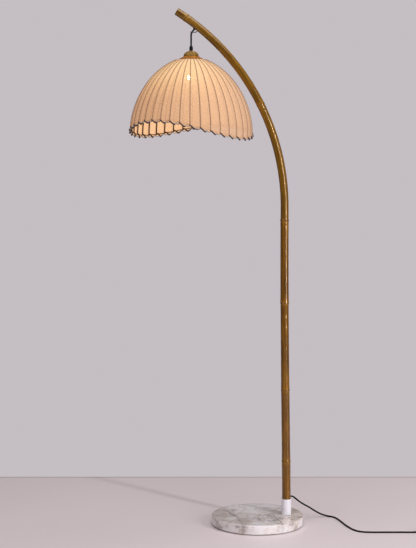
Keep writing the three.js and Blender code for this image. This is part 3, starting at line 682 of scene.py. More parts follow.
def painted_steel_material():
    material, tree, shader = shader_of(
        "white_paint", colour(0.86, 0.85, 0.90), 0.30, coat=0.3, coat_roughness=0.12
    )
    place = object_place(tree)
    soft = noise(tree, place, 60.0, 3.0)
    tone = ramp(tree, soft, (0.3, colour(0.80, 0.79, 0.85)), (0.7, colour(0.88, 0.87, 0.92)))
    wired(tree, shader, base_color=tone, roughness=ramp(tree, soft, (0.3, 0.26), (0.7, 0.38)))
    bumped(tree, shader, noise(tree, place, 1400.0, 2.0), 0.00006, 0.5)
    return material


def zinc_material():
    material, tree, shader = shader_of("zinc_plate", colour(0.6, 0.61, 0.63), 0.35, metallic=1.0)
    place = object_place(tree)
    turning = noise(tree, scaled(tree, place, (1, 1, 12)), 900.0, 3.0)
    wired(
        tree,
        shader,
        base_color=ramp(tree, turning, (0.3, colour(0.48, 0.49, 0.52)), (0.7, colour(0.66, 0.67, 0.69))),
        roughness=ramp(tree, turning, (0.3, 0.25), (0.7, 0.45)),
    )
    bumped(tree, shader, turning, 0.00005, 0.5)
    return material


def brass_material():
    material, tree, shader = shader_of("brass_plate", colour(0.72, 0.55, 0.25), 0.28, metallic=1.0)
    tarnish = noise(tree, object_place(tree), 160.0, 4.0)
    wired(
        tree,
        shader,
        base_color=ramp(tree, tarnish, (0.3, colour(0.50, 0.36, 0.15)), (0.7, colour(0.78, 0.61, 0.30))),
        roughness=ramp(tree, tarnish, (0.3, 0.42), (0.7, 0.22)),
    )
    bumped(tree, shader, noise(tree, object_place(tree), 2000.0, 2.0), 0.00003, 0.4)
    return material


VARNISH = (1.0, 0.74, 0.46, 1)


def bamboo_material(name, dark, middle, light, node_shade):
    """Varnished cane: long fibres, blotches between the nodes, and a dark scar with a pale ring at each."""
    material, tree, shader = shader_of(name, middle, 0.14, coat=0.12, coat_roughness=0.3, specular=0.8)
    shader.inputs["Specular Tint"].default_value = VARNISH
    grain = grain_place(tree)
    node_gap, internode, _ = apart(tree, grain_place(tree, "nodes"))
    shifted = node(
        tree,
        "ShaderNodeVectorMath",
        {0: grain, 1: node(tree, "ShaderNodeCombineXYZ", {"X": internode, "Z": internode}).outputs[0]},
        operation="ADD",
    ).outputs["Vector"]
    fibre = noise(tree, scaled(tree, shifted, (1, 1, 0.012)), 1500.0, 5.0, 0.65)
    streak = noise(tree, scaled(tree, shifted, (1, 1, 0.05)), 210.0, 4.0, 0.6)
    blotch = noise(tree, scaled(tree, shifted, (1, 1, 0.35)), 60.0, 3.0)
    wood = ramp(tree, streak, (0.30, dark), (0.50, middle), (0.72, light))
    fine = ramp(tree, fibre, (0.32, 0.62), (0.62, 1.12))
    wood = mixed(tree, 0.8, wood, fine, "MULTIPLY")
    wood = mixed(tree, 0.7, wood, ramp(tree, blotch, (0.3, 0.66), (0.7, 1.18)), "MULTIPLY")
    distance = maths(tree, "ABSOLUTE", node_gap)
    scar = span(tree, distance, 0.0026, 0.0008)
    halo = maths(tree, "MULTIPLY", span(tree, distance, 0.014, 0.003), 0.45)
    wood = mixed(tree, halo, wood, light)
    wood = mixed(tree, maths(tree, "MULTIPLY", scar, 0.55), wood, node_shade)
    wired(tree, shader, base_color=wood, roughness=ramp(tree, streak, (0.3, 0.17), (0.7, 0.11)))
    first = node(tree, "ShaderNodeBump", {"Height": fibre, "Distance": 0.00012, "Strength": 0.35})
    bumped(tree, shader, streak, 0.0005, 0.25, under=first.outputs["Normal"])
    return material


def turned_wood_material(name, dark, middle, light):
    material, tree, shader = shader_of(name, middle, 0.42, specular=0.3)
    shader.inputs["Specular Tint"].default_value = VARNISH
    place = object_place(tree)
    wander = bent_place(tree, place, 30.0, 0.012)
    growth = noise(tree, scaled(tree, wander, (1.0, 0.25, 1.6)), 190.0, 4.0, 0.6)
    pores = noise(tree, scaled(tree, place, (1, 0.06, 1)), 1500.0, 4.0, 0.7)
    wood = ramp(tree, growth, (0.32, dark), (0.50, middle), (0.70, light))
    wood = mixed(tree, 0.6, wood, ramp(tree, pores, (0.32, 0.55), (0.6, 1.1)), "MULTIPLY")
    wired(tree, shader, base_color=wood, roughness=ramp(tree, growth, (0.3, 0.5), (0.7, 0.36)))
    bumped(tree, shader, pores, 0.0001, 0.4)
    return material


def rubber_material(name, shade, roughness, bump):
    """Black PVC or nylon with a faint moulded texture and a little dust."""
    material, tree, shader = shader_of(name, colour(*shade), roughness, specular=0.12)
    place = object_place(tree)
    skin = noise(tree, place, 1100.0, 3.0, 0.6)
    dust = noise(tree, place, 70.0, 4.0)
    low, high = (tuple(channel * factor for channel in shade) for factor in (0.7, 1.7))
    tone = ramp(tree, dust, (0.35, colour(*low)), (0.75, colour(*high)))
    rough = ramp(tree, dust, (0.3, roughness - 0.06), (0.7, roughness + 0.1))
    wired(tree, shader, base_color=tone, roughness=rough)
    bumped(tree, shader, skin, bump, 0.5)
    return material


def bronzed_material():
    material, tree, shader = shader_of("bronzed_steel", colour(0.09, 0.07, 0.09), 0.35, metallic=0.8)
    worn = noise(tree, object_place(tree), 700.0, 4.0)
    tone = ramp(tree, worn, (0.45, colour(0.06, 0.05, 0.07)), (0.75, colour(0.30, 0.24, 0.26)))
    wired(tree, shader, base_color=tone, roughness=ramp(tree, worn, (0.3, 0.45), (0.7, 0.28)))
    bumped(tree, shader, worn, 0.00006, 0.5)
    return material


def moulded_material(name, low, high, roughness):
    material, tree, shader = shader_of(name, high, roughness, specular=0.45)
    place = object_place(tree)
    tone = noise(tree, place, 90.0, 3.0)
    wired(tree, shader, base_color=ramp(tree, tone, (0.3, low), (0.7, high)))
    bumped(tree, shader, noise(tree, place, 1800.0, 2.0), 0.00005, 0.4)
    return material


def bound_wire_material():
    """Wire bound in dark tape, wound round it at a slant."""
    material, tree, shader = shader_of("tape_bound_wire", colour(0.07, 0.035, 0.022), 0.85, specular=0.2)
    shader.inputs["Sheen Weight"].default_value = 0.15
    place = object_place(tree)
    turns = node(
        tree,
        "ShaderNodeTexWave",
        {"Vector": place, "Scale": 90.0, "Distortion": 1.2, "Detail": 2.0, "Detail Scale": 2.0},
        bands_direction="Z",
    ).outputs["Fac"]
    tone = ramp(tree, turns, (0.1, colour(0.032, 0.015, 0.010)), (0.7, colour(0.085, 0.044, 0.026)))
    wired(tree, shader, base_color=tone)
    bumped(tree, shader, turns, 0.0003, 0.6)
    return material


def thread_material(name, low, high, twist):
    material, tree, shader = shader_of(name, high, 0.8, specular=0.25)
    shader.inputs["Sheen Weight"].default_value = 0.2
    place = object_place(tree)
    strand = noise(tree, scaled(tree, place, (1, 1, 0.5)), twist, 4.0, 0.7)
    wired(tree, shader, base_color=ramp(tree, strand, (0.3, low), (0.7, high)))
    bumped(tree, shader, strand, 0.0003, 0.7)
    return material


def weave(tree, cloth, pitch):
    """The height of a plain weave, from threads that run across and up the cloth."""
    waves = []
    for direction in ("X", "Y"):
        inputs = {"Vector": cloth, "Scale": 0.314 / pitch, "Distortion": 0.6, "Detail": 1.0}
        wave = node(tree, "ShaderNodeTexWave", inputs, bands_direction=direction)
        waves.append(wave.outputs["Fac"])
    return maths(tree, "MULTIPLY", maths(tree, "ADD", waves[0], waves[1]), 0.5)


def linen_material(name, base, low, middle, high, side, rib_shadow_depth):
    """Linen lit through from inside: its glow is painted as emission, brighter towards the top and weaker towards +X,
    with painted rib shadows along the seams.
    """
    material, tree, shader = shader_of(name, base, 0.85, specular=0.15)
    shader.inputs["Sheen Weight"].default_value = 0.12
    shader.inputs["Alpha"].default_value = LINEN_ALPHA
    shader.inputs["Emission Strength"].default_value = 1.0
    cloth = grain_place(tree)
    seam, hem, _ = apart(tree, grain_place(tree, "edges"))
    x, _, z = apart(tree, object_place(tree))
    threads = weave(tree, cloth, 0.0013)
    slub = noise(tree, scaled(tree, cloth, (1, 0.45, 1)), 420.0, 4.0, 0.65)
    cross = noise(tree, scaled(tree, cloth, (0.4, 1.3, 1)), 360.0, 3.0, 0.6)
    slub = maths(tree, "MULTIPLY", maths(tree, "ADD", slub, cross), 0.5)
    # Painted glow of the bulb's light through the cloth, by height up the dome and weaker towards +X.
    height = span(tree, z, HEM_Z - 0.03, SHADE_TOP_Z)
    glow = ramp(tree, height, *low, *middle, *high)
    aside = span(tree, x, PENDANT_X - 0.02, PENDANT_X + SHADE_RADIUS)
    glow = mixed(tree, maths(tree, "MULTIPLY", aside, 0.85), glow, side)
    # Painted shadow of the bound ribs behind the seams, darkening the glow.
    shadow = maths(tree, "MULTIPLY", span(tree, seam, 0.0030, 0.0006), rib_shadow_depth)
    rib_shadow_factor = ramp(tree, shadow, (0.0, 1.0), (1.0, 0.0))
    glow = mixed(tree, 1.0, glow, rib_shadow_factor, "MULTIPLY")
    mottle = ramp(tree, slub, (0.34, 0.72), (0.66, 1.20))
    glow = mixed(tree, 0.85, glow, mottle, "MULTIPLY")
    body = mixed(tree, 0.7, base, ramp(tree, slub, (0.34, 0.72), (0.66, 1.15)), "MULTIPLY")
    body = mixed(tree, 0.25, body, ramp(tree, threads, (0.1, 0.55), (0.8, 1.1)), "MULTIPLY")
    # Base colour darkened near each seam: the same painted rib shadow.
    edge = maths(tree, "MULTIPLY", span(tree, seam, 0.0022, 0.0004), 0.5)
    body = mixed(tree, edge, body, colour(0.22, 0.13, 0.08))
    wired(tree, shader, base_color=body, emission_color=glow)
    first = node(tree, "ShaderNodeBump", {"Height": threads, "Distance": 0.00025, "Strength": 0.5})
    bumped(tree, shader, slub, 0.0005, 0.4, under=first.outputs["Normal"])
    return material


def bulb_materials():
    """Opal glass that glows most round its core, and the core itself."""
    glass, tree, shader = shader_of("opal_glass", colour(0.32, 0.26, 0.18), 0.55, specular=0.1)
    shader.inputs["Alpha"].default_value = 0.45
    shader.inputs["Emission Strength"].default_value = 1.0
    near = distance_to(tree, object_place(tree), CORE_PLACE)
    swirl = noise(tree, object_place(tree), 180.0, 2.0)
    halo = ramp(
        tree,
        maths(tree, "ADD", span(tree, near, 0.010, 0.034), maths(tree, "MULTIPLY", swirl, 0.06)),
        (0.0, colour(1.9, 1.4, 0.75)),
        (0.4, colour(0.9, 0.6, 0.3)),
        (1.0, colour(0.5, 0.32, 0.15)),
    )
    wired(tree, shader, emission_color=halo)

    core, tree, shader = shader_of("lit_core", colour(1.0, 0.9, 0.7), 0.5)
    shader.inputs["Emission Strength"].default_value = CORE_STRENGTH
    grain = noise(tree, object_place(tree), 500.0, 2.0)
    white = ramp(tree, grain, (0.3, colour(1.0, 0.86, 0.62)), (0.7, colour(1.0, 0.93, 0.78)))
    wired(tree, shader, emission_color=white)
    return glass, core


MARBLE = marble_material()
FELT = felt_material("grey_felt", colour(0.30, 0.27, 0.26), colour(0.50, 0.46, 0.45))
STRAP = felt_material("black_strap", colour(0.012, 0.012, 0.013), colour(0.035, 0.034, 0.036))
WHITE_STEEL = painted_steel_material()
ZINC = zinc_material()
BRASS = brass_material()
BAMBOO = bamboo_material(
    "varnished_bamboo",
    colour(0.085, 0.031, 0.0012),
    colour(0.165, 0.066, 0.0022),
    colour(0.290, 0.125, 0.0060),
    colour(0.030, 0.011, 0.0020),
)
ARCH_BAMBOO = bamboo_material(
    "varnished_arch_bamboo",
    colour(0.085, 0.036, 0.0010),
    colour(0.165, 0.075, 0.0020),
    colour(0.270, 0.130, 0.0050),
    colour(0.055, 0.020, 0.0030),
)
TURNED_WOOD = turned_wood_material(
    "turned_wood",
    colour(0.080, 0.038, 0.0070),
    colour(0.210, 0.115, 0.0200),
    colour(0.400, 0.250, 0.0650),
)
RIM_WOOD = turned_wood_material(
    "turned_rim_wood",
    colour(0.120, 0.038, 0.0040),
    colour(0.320, 0.110, 0.0100),
    colour(0.480, 0.210, 0.0300),
)
BLACK_FLEX = rubber_material("black_pvc", (0.0022, 0.0020, 0.0024), 0.55, 0.00008)
BLACK_PLASTIC = rubber_material("black_nylon", (0.0034, 0.0032, 0.0038), 0.48, 0.00012)
BRONZED = bronzed_material()
HOLDER_PLASTIC = moulded_material(
    "white_phenolic", colour(0.74, 0.71, 0.64), colour(0.86, 0.84, 0.78), 0.36
)
CERAMIC = moulded_material("glazed_ceramic", colour(0.84, 0.82, 0.77), colour(0.92, 0.90, 0.86), 0.22)
BOUND_WIRE = bound_wire_material()
STITCH = thread_material("whip_thread", colour(0.018, 0.010, 0.009), colour(0.060, 0.034, 0.026), 1500.0)
SEAM_THREAD = thread_material(
    "seam_thread", colour(0.130, 0.066, 0.038), colour(0.280, 0.155, 0.095), 2600.0
)
PIPING = thread_material("hem_piping", colour(0.26, 0.21, 0.18), colour(0.44, 0.38, 0.34), 1900.0)
# For the outer and the inner cloth, the low, middle and high stops paint the bulb's glow by height, side paints the
# weaker glow towards +X, and the last number sets how dark the painted rib shadow is.
LINEN = linen_material(
    "pleated_linen",
    colour(0.46, 0.305, 0.190),
    low=((0.0, colour(0.19, 0.086, 0.050)), (0.25, colour(0.195, 0.086, 0.044))),
    middle=((0.55, colour(0.225, 0.094, 0.032)), (0.75, colour(0.27, 0.112, 0.018))),
    high=((0.90, colour(0.33, 0.150, 0.018)), (1.0, colour(0.36, 0.185, 0.020))),
    side=colour(0.105, 0.040, 0.025),
    rib_shadow_depth=0.55,
)
LINEN_INSIDE = linen_material(
    "pleated_linen_inside",
    colour(0.55, 0.42, 0.30),
    low=((0.0, colour(0.80, 0.450, 0.200)), (0.2, colour(0.86, 0.500, 0.230))),
    middle=((0.45, colour(0.80, 0.450, 0.210)), (0.7, colour(0.95, 0.600, 0.300))),
    high=((0.85, colour(1.10, 0.800, 0.450)), (1.0, colour(1.20, 0.950, 0.600))),
    side=colour(1.00, 0.600, 0.290),
    rib_shadow_depth=0.5,
)
OPAL_GLASS, LIT_CORE = bulb_materials()


# ---------------------------------------------------------------- base


def drilled(target, *cutters):
    """Cuts solids away from a piece, and keeps its flats flat."""
    for cutter in cutters:
        cut = target.modifiers.new("cut", "BOOLEAN")
        cut.operation = "DIFFERENCE"
        cut.solver = "EXACT"
        cut.object = cutter
    depsgraph = bpy.context.evaluated_depsgraph_get()
    target.data = bpy.data.meshes.new_from_object(target.evaluated_get(depsgraph))
    target.modifiers.clear()
    for cutter in cutters:
        bpy.data.objects.remove(cutter)
    target.data.set_sharp_from_angle(angle=math.radians(32))


def cylinder(radius, low, high, place=(0, 0, 0), direction=(0, 0, 1), sides=32):
    return turned("cutter", [(0, low), (radius, low), (radius, high), (0, high)], sides, place, direction)


def add_base():
    low = PAD_THICKNESS + GAP
    rim, flat = BASE_RADIUS, BASE_RADIUS - 2 * BASE_BEVEL
    outline = [
        (0, low),
        (rim - 0.06, low),
        (rim - BASE_BEVEL, low),
        (rim, low + BASE_BEVEL),
        (rim, BASE_HEIGHT - BASE_BEVEL),
        (rim - 0.7 * BASE_BEVEL, BASE_HEIGHT - 0.3 * BASE_BEVEL),
        (flat, BASE_HEIGHT),
        (rim - 0.012, BASE_HEIGHT),
        (0, BASE_HEIGHT),
    ]
    slab = turned("marble_slab", softened(outline, 0.0012, 2), 160)
    foot = (POLE_X, 0, 0)
    drilled(slab, cylinder(0.015, -0.01, low + 0.012, foot), cylinder(0.0046, 0.005, 0.05, foot))
    paint(slab, MARBLE)
    piece(slab, "base", "marble", "base_slab")

    pad_radius = BASE_RADIUS - 0.004
    pad_outline = [(0, 0), (pad_radius, 0), (pad_radius, PAD_THICKNESS), (0, PAD_THICKNESS)]
    pad = turned("felt_pad", softened(pad_outline, 0.0006, 2), 128)
    paint(pad, FELT)
    piece(pad, "base", "felt", "base_pad")

    foot_z = BASE_HEIGHT + GAP
    sleeve_outline = [
        (0.0043, foot_z),
        (SLEEVE_RADIUS, foot_z),
        (SLEEVE_RADIUS, SLEEVE_TOP),
        (SLEEVE_BORE, SLEEVE_TOP),
        (SLEEVE_BORE, foot_z + SLEEVE_FLOOR),
        (0.0043, foot_z + SLEEVE_FLOOR),
        (0.0043, foot_z),
    ]
    sleeve = turned("socket_sleeve", softened(sleeve_outline, 0.0006), 64, foot)
    screw = (POLE_X, 0, foot_z + 0.028)
    drilled(sleeve, cylinder(0.0023, 0.008, 0.02, screw, SCREW_DIRECTION))
    paint(sleeve, WHITE_STEEL)
    piece(sleeve, "base", "white_steel", "socket_tube")

    for name in ("set_screw", "base_washer", "base_bolt"):
        paint(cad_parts[name], ZINC)


# ---------------------------------------------------------------- bamboo


def bezier(a, b, c, d, count):
    a, b, c, d = (np.array(point, float) for point in (a, b, c, d))
    return [
        a * (1 - t) ** 3 + 3 * b * t * (1 - t) ** 2 + 3 * c * t**2 * (1 - t) + d * t**3
        for t in np.linspace(0, 1, count)
    ]


def pole_path():
    start, end = (POLE_X, 0, 0.080), (SEAM_X, 0, SEAM_Z - GAP / 2)
    bow = bezier(start, (POLE_X, 0, 0.200), (SEAM_X, 0, 0.560), end, 500)
    return [np.array((POLE_X, 0, POLE_FOOT_Z)), *bow]


def arch_path():
    straight = [np.array((SEAM_X, 0, z)) for z in (SEAM_Z + GAP / 2, ARCH_START_Z - 0.0002)]
    return straight + [np.array(under_arch(turn, 0)) for turn in np.linspace(0, ARCH_TURN, 600)]


class Cane:
    """A bamboo cane along a path in the XZ plane, with its nodes at distances along it."""

    def __init__(self, path, nodes, end_radii, seed):
        self.end_radii = end_radii
        self.path = np.array(path)
        self.along = np.concatenate([[0], np.cumsum(np.linalg.norm(np.diff(self.path, axis=0), axis=1))])
        self.length = float(self.along[-1])
        self.nodes = nodes
        self.wobble = np.random.default_rng(seed).uniform(0, 2 * math.pi, 8)

    def at(self, s):
        """The centre and the direction at a distance along."""
        lower, upper = max(0.0, s - 0.004), min(self.length, s + 0.004)
        ends = [np.array([np.interp(u, self.along, self.path[:, k]) for k in range(3)]) for u in (lower, upper)]
        centre = np.array([np.interp(s, self.along, self.path[:, k]) for k in range(3)])
        tangent = ends[1] - ends[0]
        return centre, tangent / np.linalg.norm(tangent)

    def gap(self, s):
        return min((s - place for place in self.nodes), key=abs)

    def radius(self, s, angle):
        """Tapered, slightly oval, and fuller at each node, which has a ridge over a groove."""
        gap = self.gap(s)
        taper = float(np.interp(s, (0, self.length), self.end_radii))
        ridge = NODE_RISE * math.exp(-((gap / 0.0026) ** 2))
        swelling = 0.00035 * math.exp(-((gap / 0.016) ** 2))
        groove = 0.00022 * math.exp(-(((gap + 0.0048) / 0.0018) ** 2))
        section = int(np.searchsorted(self.nodes, s))
        oval = 0.00016 * math.cos(2 * angle + self.wobble[section])
        ripple = 0.00008 * math.sin(190 * s + 3 * angle + self.wobble[section + 1])
        return taper + ridge + swelling - groove + oval + ripple

    def places(self):
        """Distances for the rings: every 3 mm, and closer at the nodes and the ends."""
        plain = np.linspace(0, self.length, round(self.length / 0.003) + 1)
        near = [node + step * 0.0007 for node in self.nodes for step in range(-13, 14)]
        kept = [s for s in plain if all(abs(s - node) > 0.0098 for node in self.nodes)]
        return sorted(s for s in [*kept, *near] if 0 <= s <= self.length)

    def ring(self, s, radius_at, sides=40):
        centre, tangent = self.at(s)
        aside = np.array((tangent[2], 0, -tangent[0]))
        ring = []
        for i in range(sides):
            angle = 2 * math.pi * i / sides
            radius = radius_at(angle)
            ring.append(centre + radius * (math.cos(angle) * aside + math.sin(angle) * np.array((0, 1, 0))))
        return ring

    def rings(self, bore_steps):
        """Up the outside and down the bore, whose (distance, radius) steps come from the top down."""
        edge = 0.0005
        rings = []
        for s in self.places():
            trim = edge if s in (0, self.length) else 0
            rings.append(self.ring(s, lambda angle: self.radius(s, angle) - trim))
        rings[1:1] = [self.ring(edge, lambda angle: self.radius(0, angle))]
        rings[-1:-1] = [self.ring(self.length - edge, lambda angle: self.radius(self.length, angle))]
        return rings + [self.ring(s, lambda angle: bore) for s, bore in bore_steps]

    def straightened(self, point):
        """Where a point would be if the cane were straight, and how far it is from the nearest node."""
        k = int(np.argmin(((self.path - point) ** 2).sum(axis=1)))
        centre, tangent = self.at(self.along[k])
        aside = np.array((tangent[2], 0, -tangent[0]))
        off = np.array(point) - centre
        s = self.along[k] + float(off @ tangent)
        return (float(off @ aside), point[1], s), (self.gap(s), float(np.searchsorted(self.nodes, s)), 0)


def cane_piece(name, cane, bore_steps, body, slot, stands_for, material, *cutters):
    shape = ring_piece(name, cane.rings(bore_steps), loop=True)
    drilled(shape, *cutters)
    unbent = [cane.straightened(np.array(vertex.co)) for vertex in shape.data.vertices]
    for label, column in (("grain", 0), ("nodes", 1)):
        layer = shape.data.attributes.new(label, "FLOAT_VECTOR", "POINT")
        layer.data.foreach_set("vector", np.array([u[column] for u in unbent], np.float32).ravel())
    paint(shape, material)
    piece(shape, body, slot, stands_for)


def add_pole():
    nodes = [z - POLE_FOOT_Z for z in (*POLE_NODES_Z, SEAM_Z - 0.003)]
    cane = Cane(pole_path(), nodes, (FOOT_RADIUS, SEAM_RADIUS), 11)
    reach = SPIGOT_REACH + 0.002
    top, turn = cane.length, SPIGOT_RADIUS + GAP
    bore = [(top, turn), (top - reach, turn)]
    bore += [(s, CANE_BORE) for s in np.linspace(top - reach, 0, 28)]
    exit_hole = cylinder(0.0044, 0, 0.020, EXIT_POINT, exit_direction)
    cane_piece("pole_cane", cane, bore, "base", "bamboo", "pole_lower", BAMBOO, exit_hole)

    start, tip = FOOT_RADIUS, FOOT_RADIUS + GLAND_LENGTH
    outline = [(0, 0.0055), (0.0041, 0.0055), (0.0041, start + 0.0013)]
    outline += [(0.0046, start + 0.0016), (0.0046, start + 0.0030), (0.0039, start + 0.0036)]
    for k in range(GLAND_GROOVES):
        at = start + 0.0048 + k * 0.0024
        wide = 0.0039 - 0.00008 * (at - start) / 0.002
        outline += [(wide, at), (wide - 0.0006, at + 0.0005), (wide - 0.0006, at + 0.0010), (wide - 0.0001, at + 0.0015)]
    outline += [(0.0031, tip - 0.0008), (0.0029, tip), (0, tip)]
    gland = turned("strain_relief", softened(outline, 0.0003, 2), 40, EXIT_POINT, exit_direction)
    paint(gland, BLACK_PLASTIC)
    piece(gland, "base", "black_plastic", "cord_gland")

    paint(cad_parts["joint_spigot"], ZINC)
    for name in ("inner_cord_lower", "inner_cord_upper"):
        paint(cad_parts[name], BLACK_FLEX)


def inward(turn):
    return Vector((-math.cos(turn), 0, -math.sin(turn)))


def add_arch():
    straight = ARCH_START_Z - SEAM_Z
    nodes = [straight + ARCH_RADIUS * turn for turn in ARCH_NODES]
    cane = Cane(arch_path(), nodes, (SEAM_RADIUS, TIP_RADIUS), 5)
    reach = SPIGOT_REACH + 0.002
    wide = SPIGOT_RADIUS + GAP
    bore = [(s, CANE_BORE) for s in np.linspace(cane.length, reach, 24)] + [(reach, wide), (0, wide)]
    holes = [
        cylinder(0.0042, 0.003, 0.016, under_arch(FLEX_TURN, 0), inward(FLEX_TURN)),
        cylinder(0.0019, 0.005, 0.016, under_arch(HOOK_TURN, 0), inward(HOOK_TURN)),
    ]
    cane_piece("arch_cane", cane, bore, "arc", "arch_bamboo", "pole_arc", ARCH_BAMBOO, *holes)

    outline = [(0.0029, 0.0065), (0.0039, 0.0065), (0.0039, 0.0119), (0.0044, 0.0122), (0.0044, 0.0130)]
    outline += [(0.0029, 0.0130), (0.0029, 0.0065)]
    place = under_arch(FLEX_TURN, 0)
    grommet = turned("arch_grommet", softened(outline, 0.0002, 2), 36, place, inward(FLEX_TURN))
    paint(grommet, BLACK_PLASTIC)
    piece(grommet, "arc", "black_plastic", "arc_grommet")


# ---------------------------------------------------------------- what hangs from the arch


def add_hook():
    eye = Vector((-0.1994, 0, 1.4934))
    radius, rise_per_degree = 0.0049, 0.000005
    route = [under_arch(HOOK_TURN, depth) for depth in (0.0075, 0.011, 0.014)]
    for angle in (0, 45, 90, 135, 180, 225, 270, 310):
        around = math.radians(angle)
        off = (radius * math.cos(around), -radius * math.sin(around), rise_per_degree * angle)
        route.append(eye + Vector(off))
    hook = tube_piece("flex_hook", smooth_line(route, 5), 0.00135, 14)
    paint(hook, BRONZED)
    piece(hook, "arc", "dark_metal", "cord_hook")


HANG_ROUTE = [
    under_arch(FLEX_TURN - math.radians(0.9), -0.0006),
    under_arch(FLEX_TURN - math.radians(0.3), 0.0006),
    under_arch(FLEX_TURN - math.radians(0.02), 0.004),
    under_arch(FLEX_TURN, 0.008),
    under_arch(FLEX_TURN, 0.012),
    under_arch(FLEX_TURN, 0.0155),
    (-0.1983, 0, 1.4962),
    (-0.2008, 0, 1.4912),
    (PENDANT_X, 0, 1.4869),
    (PENDANT_X, 0, 1.4820),
    (PENDANT_X, 0, FLEX_CUT_Z),
]
FLEX_END_Z = 1.428


def add_pendant_flex():
    top = smooth_line(HANG_ROUTE, 8)
    low = [(PENDANT_X, 0, z) for z in np.linspace(FLEX_CUT_Z, FLEX_END_Z, 60)]
    cuts = (
        ("pendant_flex_top", top, ("arc", "flex_upper"), SWING_Z, ("pendant_cord_top",)),
        ("pendant_flex_low", low, ("flex_upper", "flex_lower"), TILT_Z, ("pendant_cord_mid", "pendant_cord_low")),
    )
    for name, line, bodies, bend_z, stands_for in cuts:
        flex = tube_piece(name, line, PENDANT_FLEX_RADIUS, 20)
        paint(flex, BLACK_FLEX)
        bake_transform(flex)
        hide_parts(*stands_for)


def hung(name, outline, radius, sides, material, slot, *nodes):
    """A turned piece on the shade's own axis."""
    made = turned(name, softened(outline, radius, 2), sides, (PENDANT_X, 0, 0))
    paint(made, material)
    piece(made, "shade", slot, *nodes)
    return made


def add_cap():
    grip = [(0.0031, 1.4394), (0.0031, 1.4528), (0.0043, 1.4528), (0.0052, 1.4516)]
    for k in range(4):
        at = 1.4506 - 0.0010 * k
        grip += [(0.0052, at), (0.0049, at - 0.0003), (0.0049, at - 0.0006)]
    grip += [(0.0052, 1.4470), (0.0056, 1.4466), (0.0056, 1.4416), (0.0049, 1.4394), (0.0031, 1.4394)]
    hung("flex_grip", grip, 0.0002, 48, BLACK_PLASTIC, "black_plastic", "cord_grip")
    paint(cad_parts["nipple"], ZINC)

    dome = [(0.0192, 1.4229), (0.0226, 1.4229)]
    for degrees in range(4, 78, 4):
        angle = math.radians(degrees)
        dome.append((0.0229 * math.cos(angle), 1.4231 + 0.016 * math.sin(angle)))
    dome += [(0.0044, 1.4391), (0.0044, 1.4314), (0.0136, 1.4314), (0.0192, 1.4236), (0.0192, 1.4229)]
    hung("cap_turning", dome, 0.0003, 72, TURNED_WOOD, "turned_wood", "cap_dome")

    flange = [(0.0226, 1.4139), (0.0346, 1.4139), (0.0352, 1.4149), (0.0346, 1.4161), (0.0330, 1.4168)]
    flange += [(0.0300, 1.4181), (0.0270, 1.4196), (0.0250, 1.4211), (0.0240, 1.4222), (0.0235, 1.4226)]
    flange += [(0.0226, 1.4226), (0.0226, 1.4139)]
    hung("cap_skirt", flange, 0.0003, 72, RIM_WOOD, "turned_wood", "cap_flange")


def add_lampholder():
    skirt = [(0.0168, 1.3840), (0.0192, 1.3840), (0.0192, 1.4140), (0.0220, 1.4140), (0.0220, 1.4164)]
    skirt += [(0.0184, 1.4164), (0.0184, 1.4185), (0.0168, 1.4185), (0.0168, 1.3840)]
    hung("lampholder_skirt", skirt, 0.0005, 56, HOLDER_PLASTIC, "holder_plastic", "holder_skirt")
    ring = [(0.0196, 1.4040), (0.0258, 1.4040), (0.0270, 1.4052), (0.0270, 1.4066), (0.0264, 1.4070)]
    ring += [(0.0264, 1.4078), (0.0270, 1.4082), (0.0270, 1.4096), (0.0258, 1.4108), (0.0196, 1.4108)]
    ring += [(0.0196, 1.4040)]
    hung("lampholder_ring", ring, 0.0003, 56, HOLDER_PLASTIC, "holder_plastic", "shade_ring")
    for name, material in (
        ("holder_cap", HOLDER_PLASTIC),
        ("holder_insert", CERAMIC),
        ("holder_shell", BRASS),
        ("bulb_cap", BRASS),
    ):
        paint(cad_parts[name], material)


def add_bulb():
    globe = []
    for degrees in range(-90, 51, 5):
        angle = math.radians(degrees)
        globe.append((max(0.0, GLOBE_RADIUS * math.cos(angle)), GLOBE_Z + GLOBE_RADIUS * math.sin(angle)))
    globe[0] = (0.0, globe[0][1])
    globe += [(0.0139, 1.3778), (0.0134, 1.3802), (0.0130, 1.3822), (0.0129, 1.3839), (0, 1.3839)]
    glass = turned("bulb_globe", globe, 56, (PENDANT_X, 0, 0))
    paint(glass, OPAL_GLASS)
    piece(glass, "shade", "bulb_glass", "bulb_glass")

    half = CORE_RADIUS + 0.0012
    core = []
    for degrees in range(-90, 91, 15):
        angle = math.radians(degrees)
        core.append((max(0.0, CORE_RADIUS * math.cos(angle)), half * math.sin(angle)))
    core[0], core[-1] = (0.0, core[0][1]), (0.0, core[-1][1])
    light = turned("bulb_core", core, 32, CORE_PLACE)
    paint(light, LIT_CORE)
    piece(light, "shade", "bulb_glass")


# ---------------------------------------------------------------- shade


def shade_radius(z):
    """The cloth's outer radius at a height, at a seam."""
    rise = max(0.0, z - SHOULDER_Z) / CROWN
    return SHADE_RADIUS * (1 - min(1.0, rise**SHADE_POWER)) ** (1 / SHADE_POWER)


def hem_height(angle):
    wave = HEM_WAVE * math.cos(2 * (angle - HEM_WAVE_PEAK))
    return HEM_Z + wave + HEM_SLANT * math.cos(angle)


def seam_angle(index):
    return math.radians(270) + SEAM_PHASE + 2 * math.pi * index / PANELS


# The dome's outline from below the lowest hem to the hole in the top, with the distance along it.
outline_z = np.concatenate([np.linspace(1.160, 1.39, 900), np.linspace(1.39, SHADE_TOP_Z, 900)[1:]])
outline_r = np.array([shade_radius(z) for z in outline_z])
outline_s = np.concatenate([[0], np.cumsum(np.hypot(np.diff(outline_r), np.diff(outline_z)))])


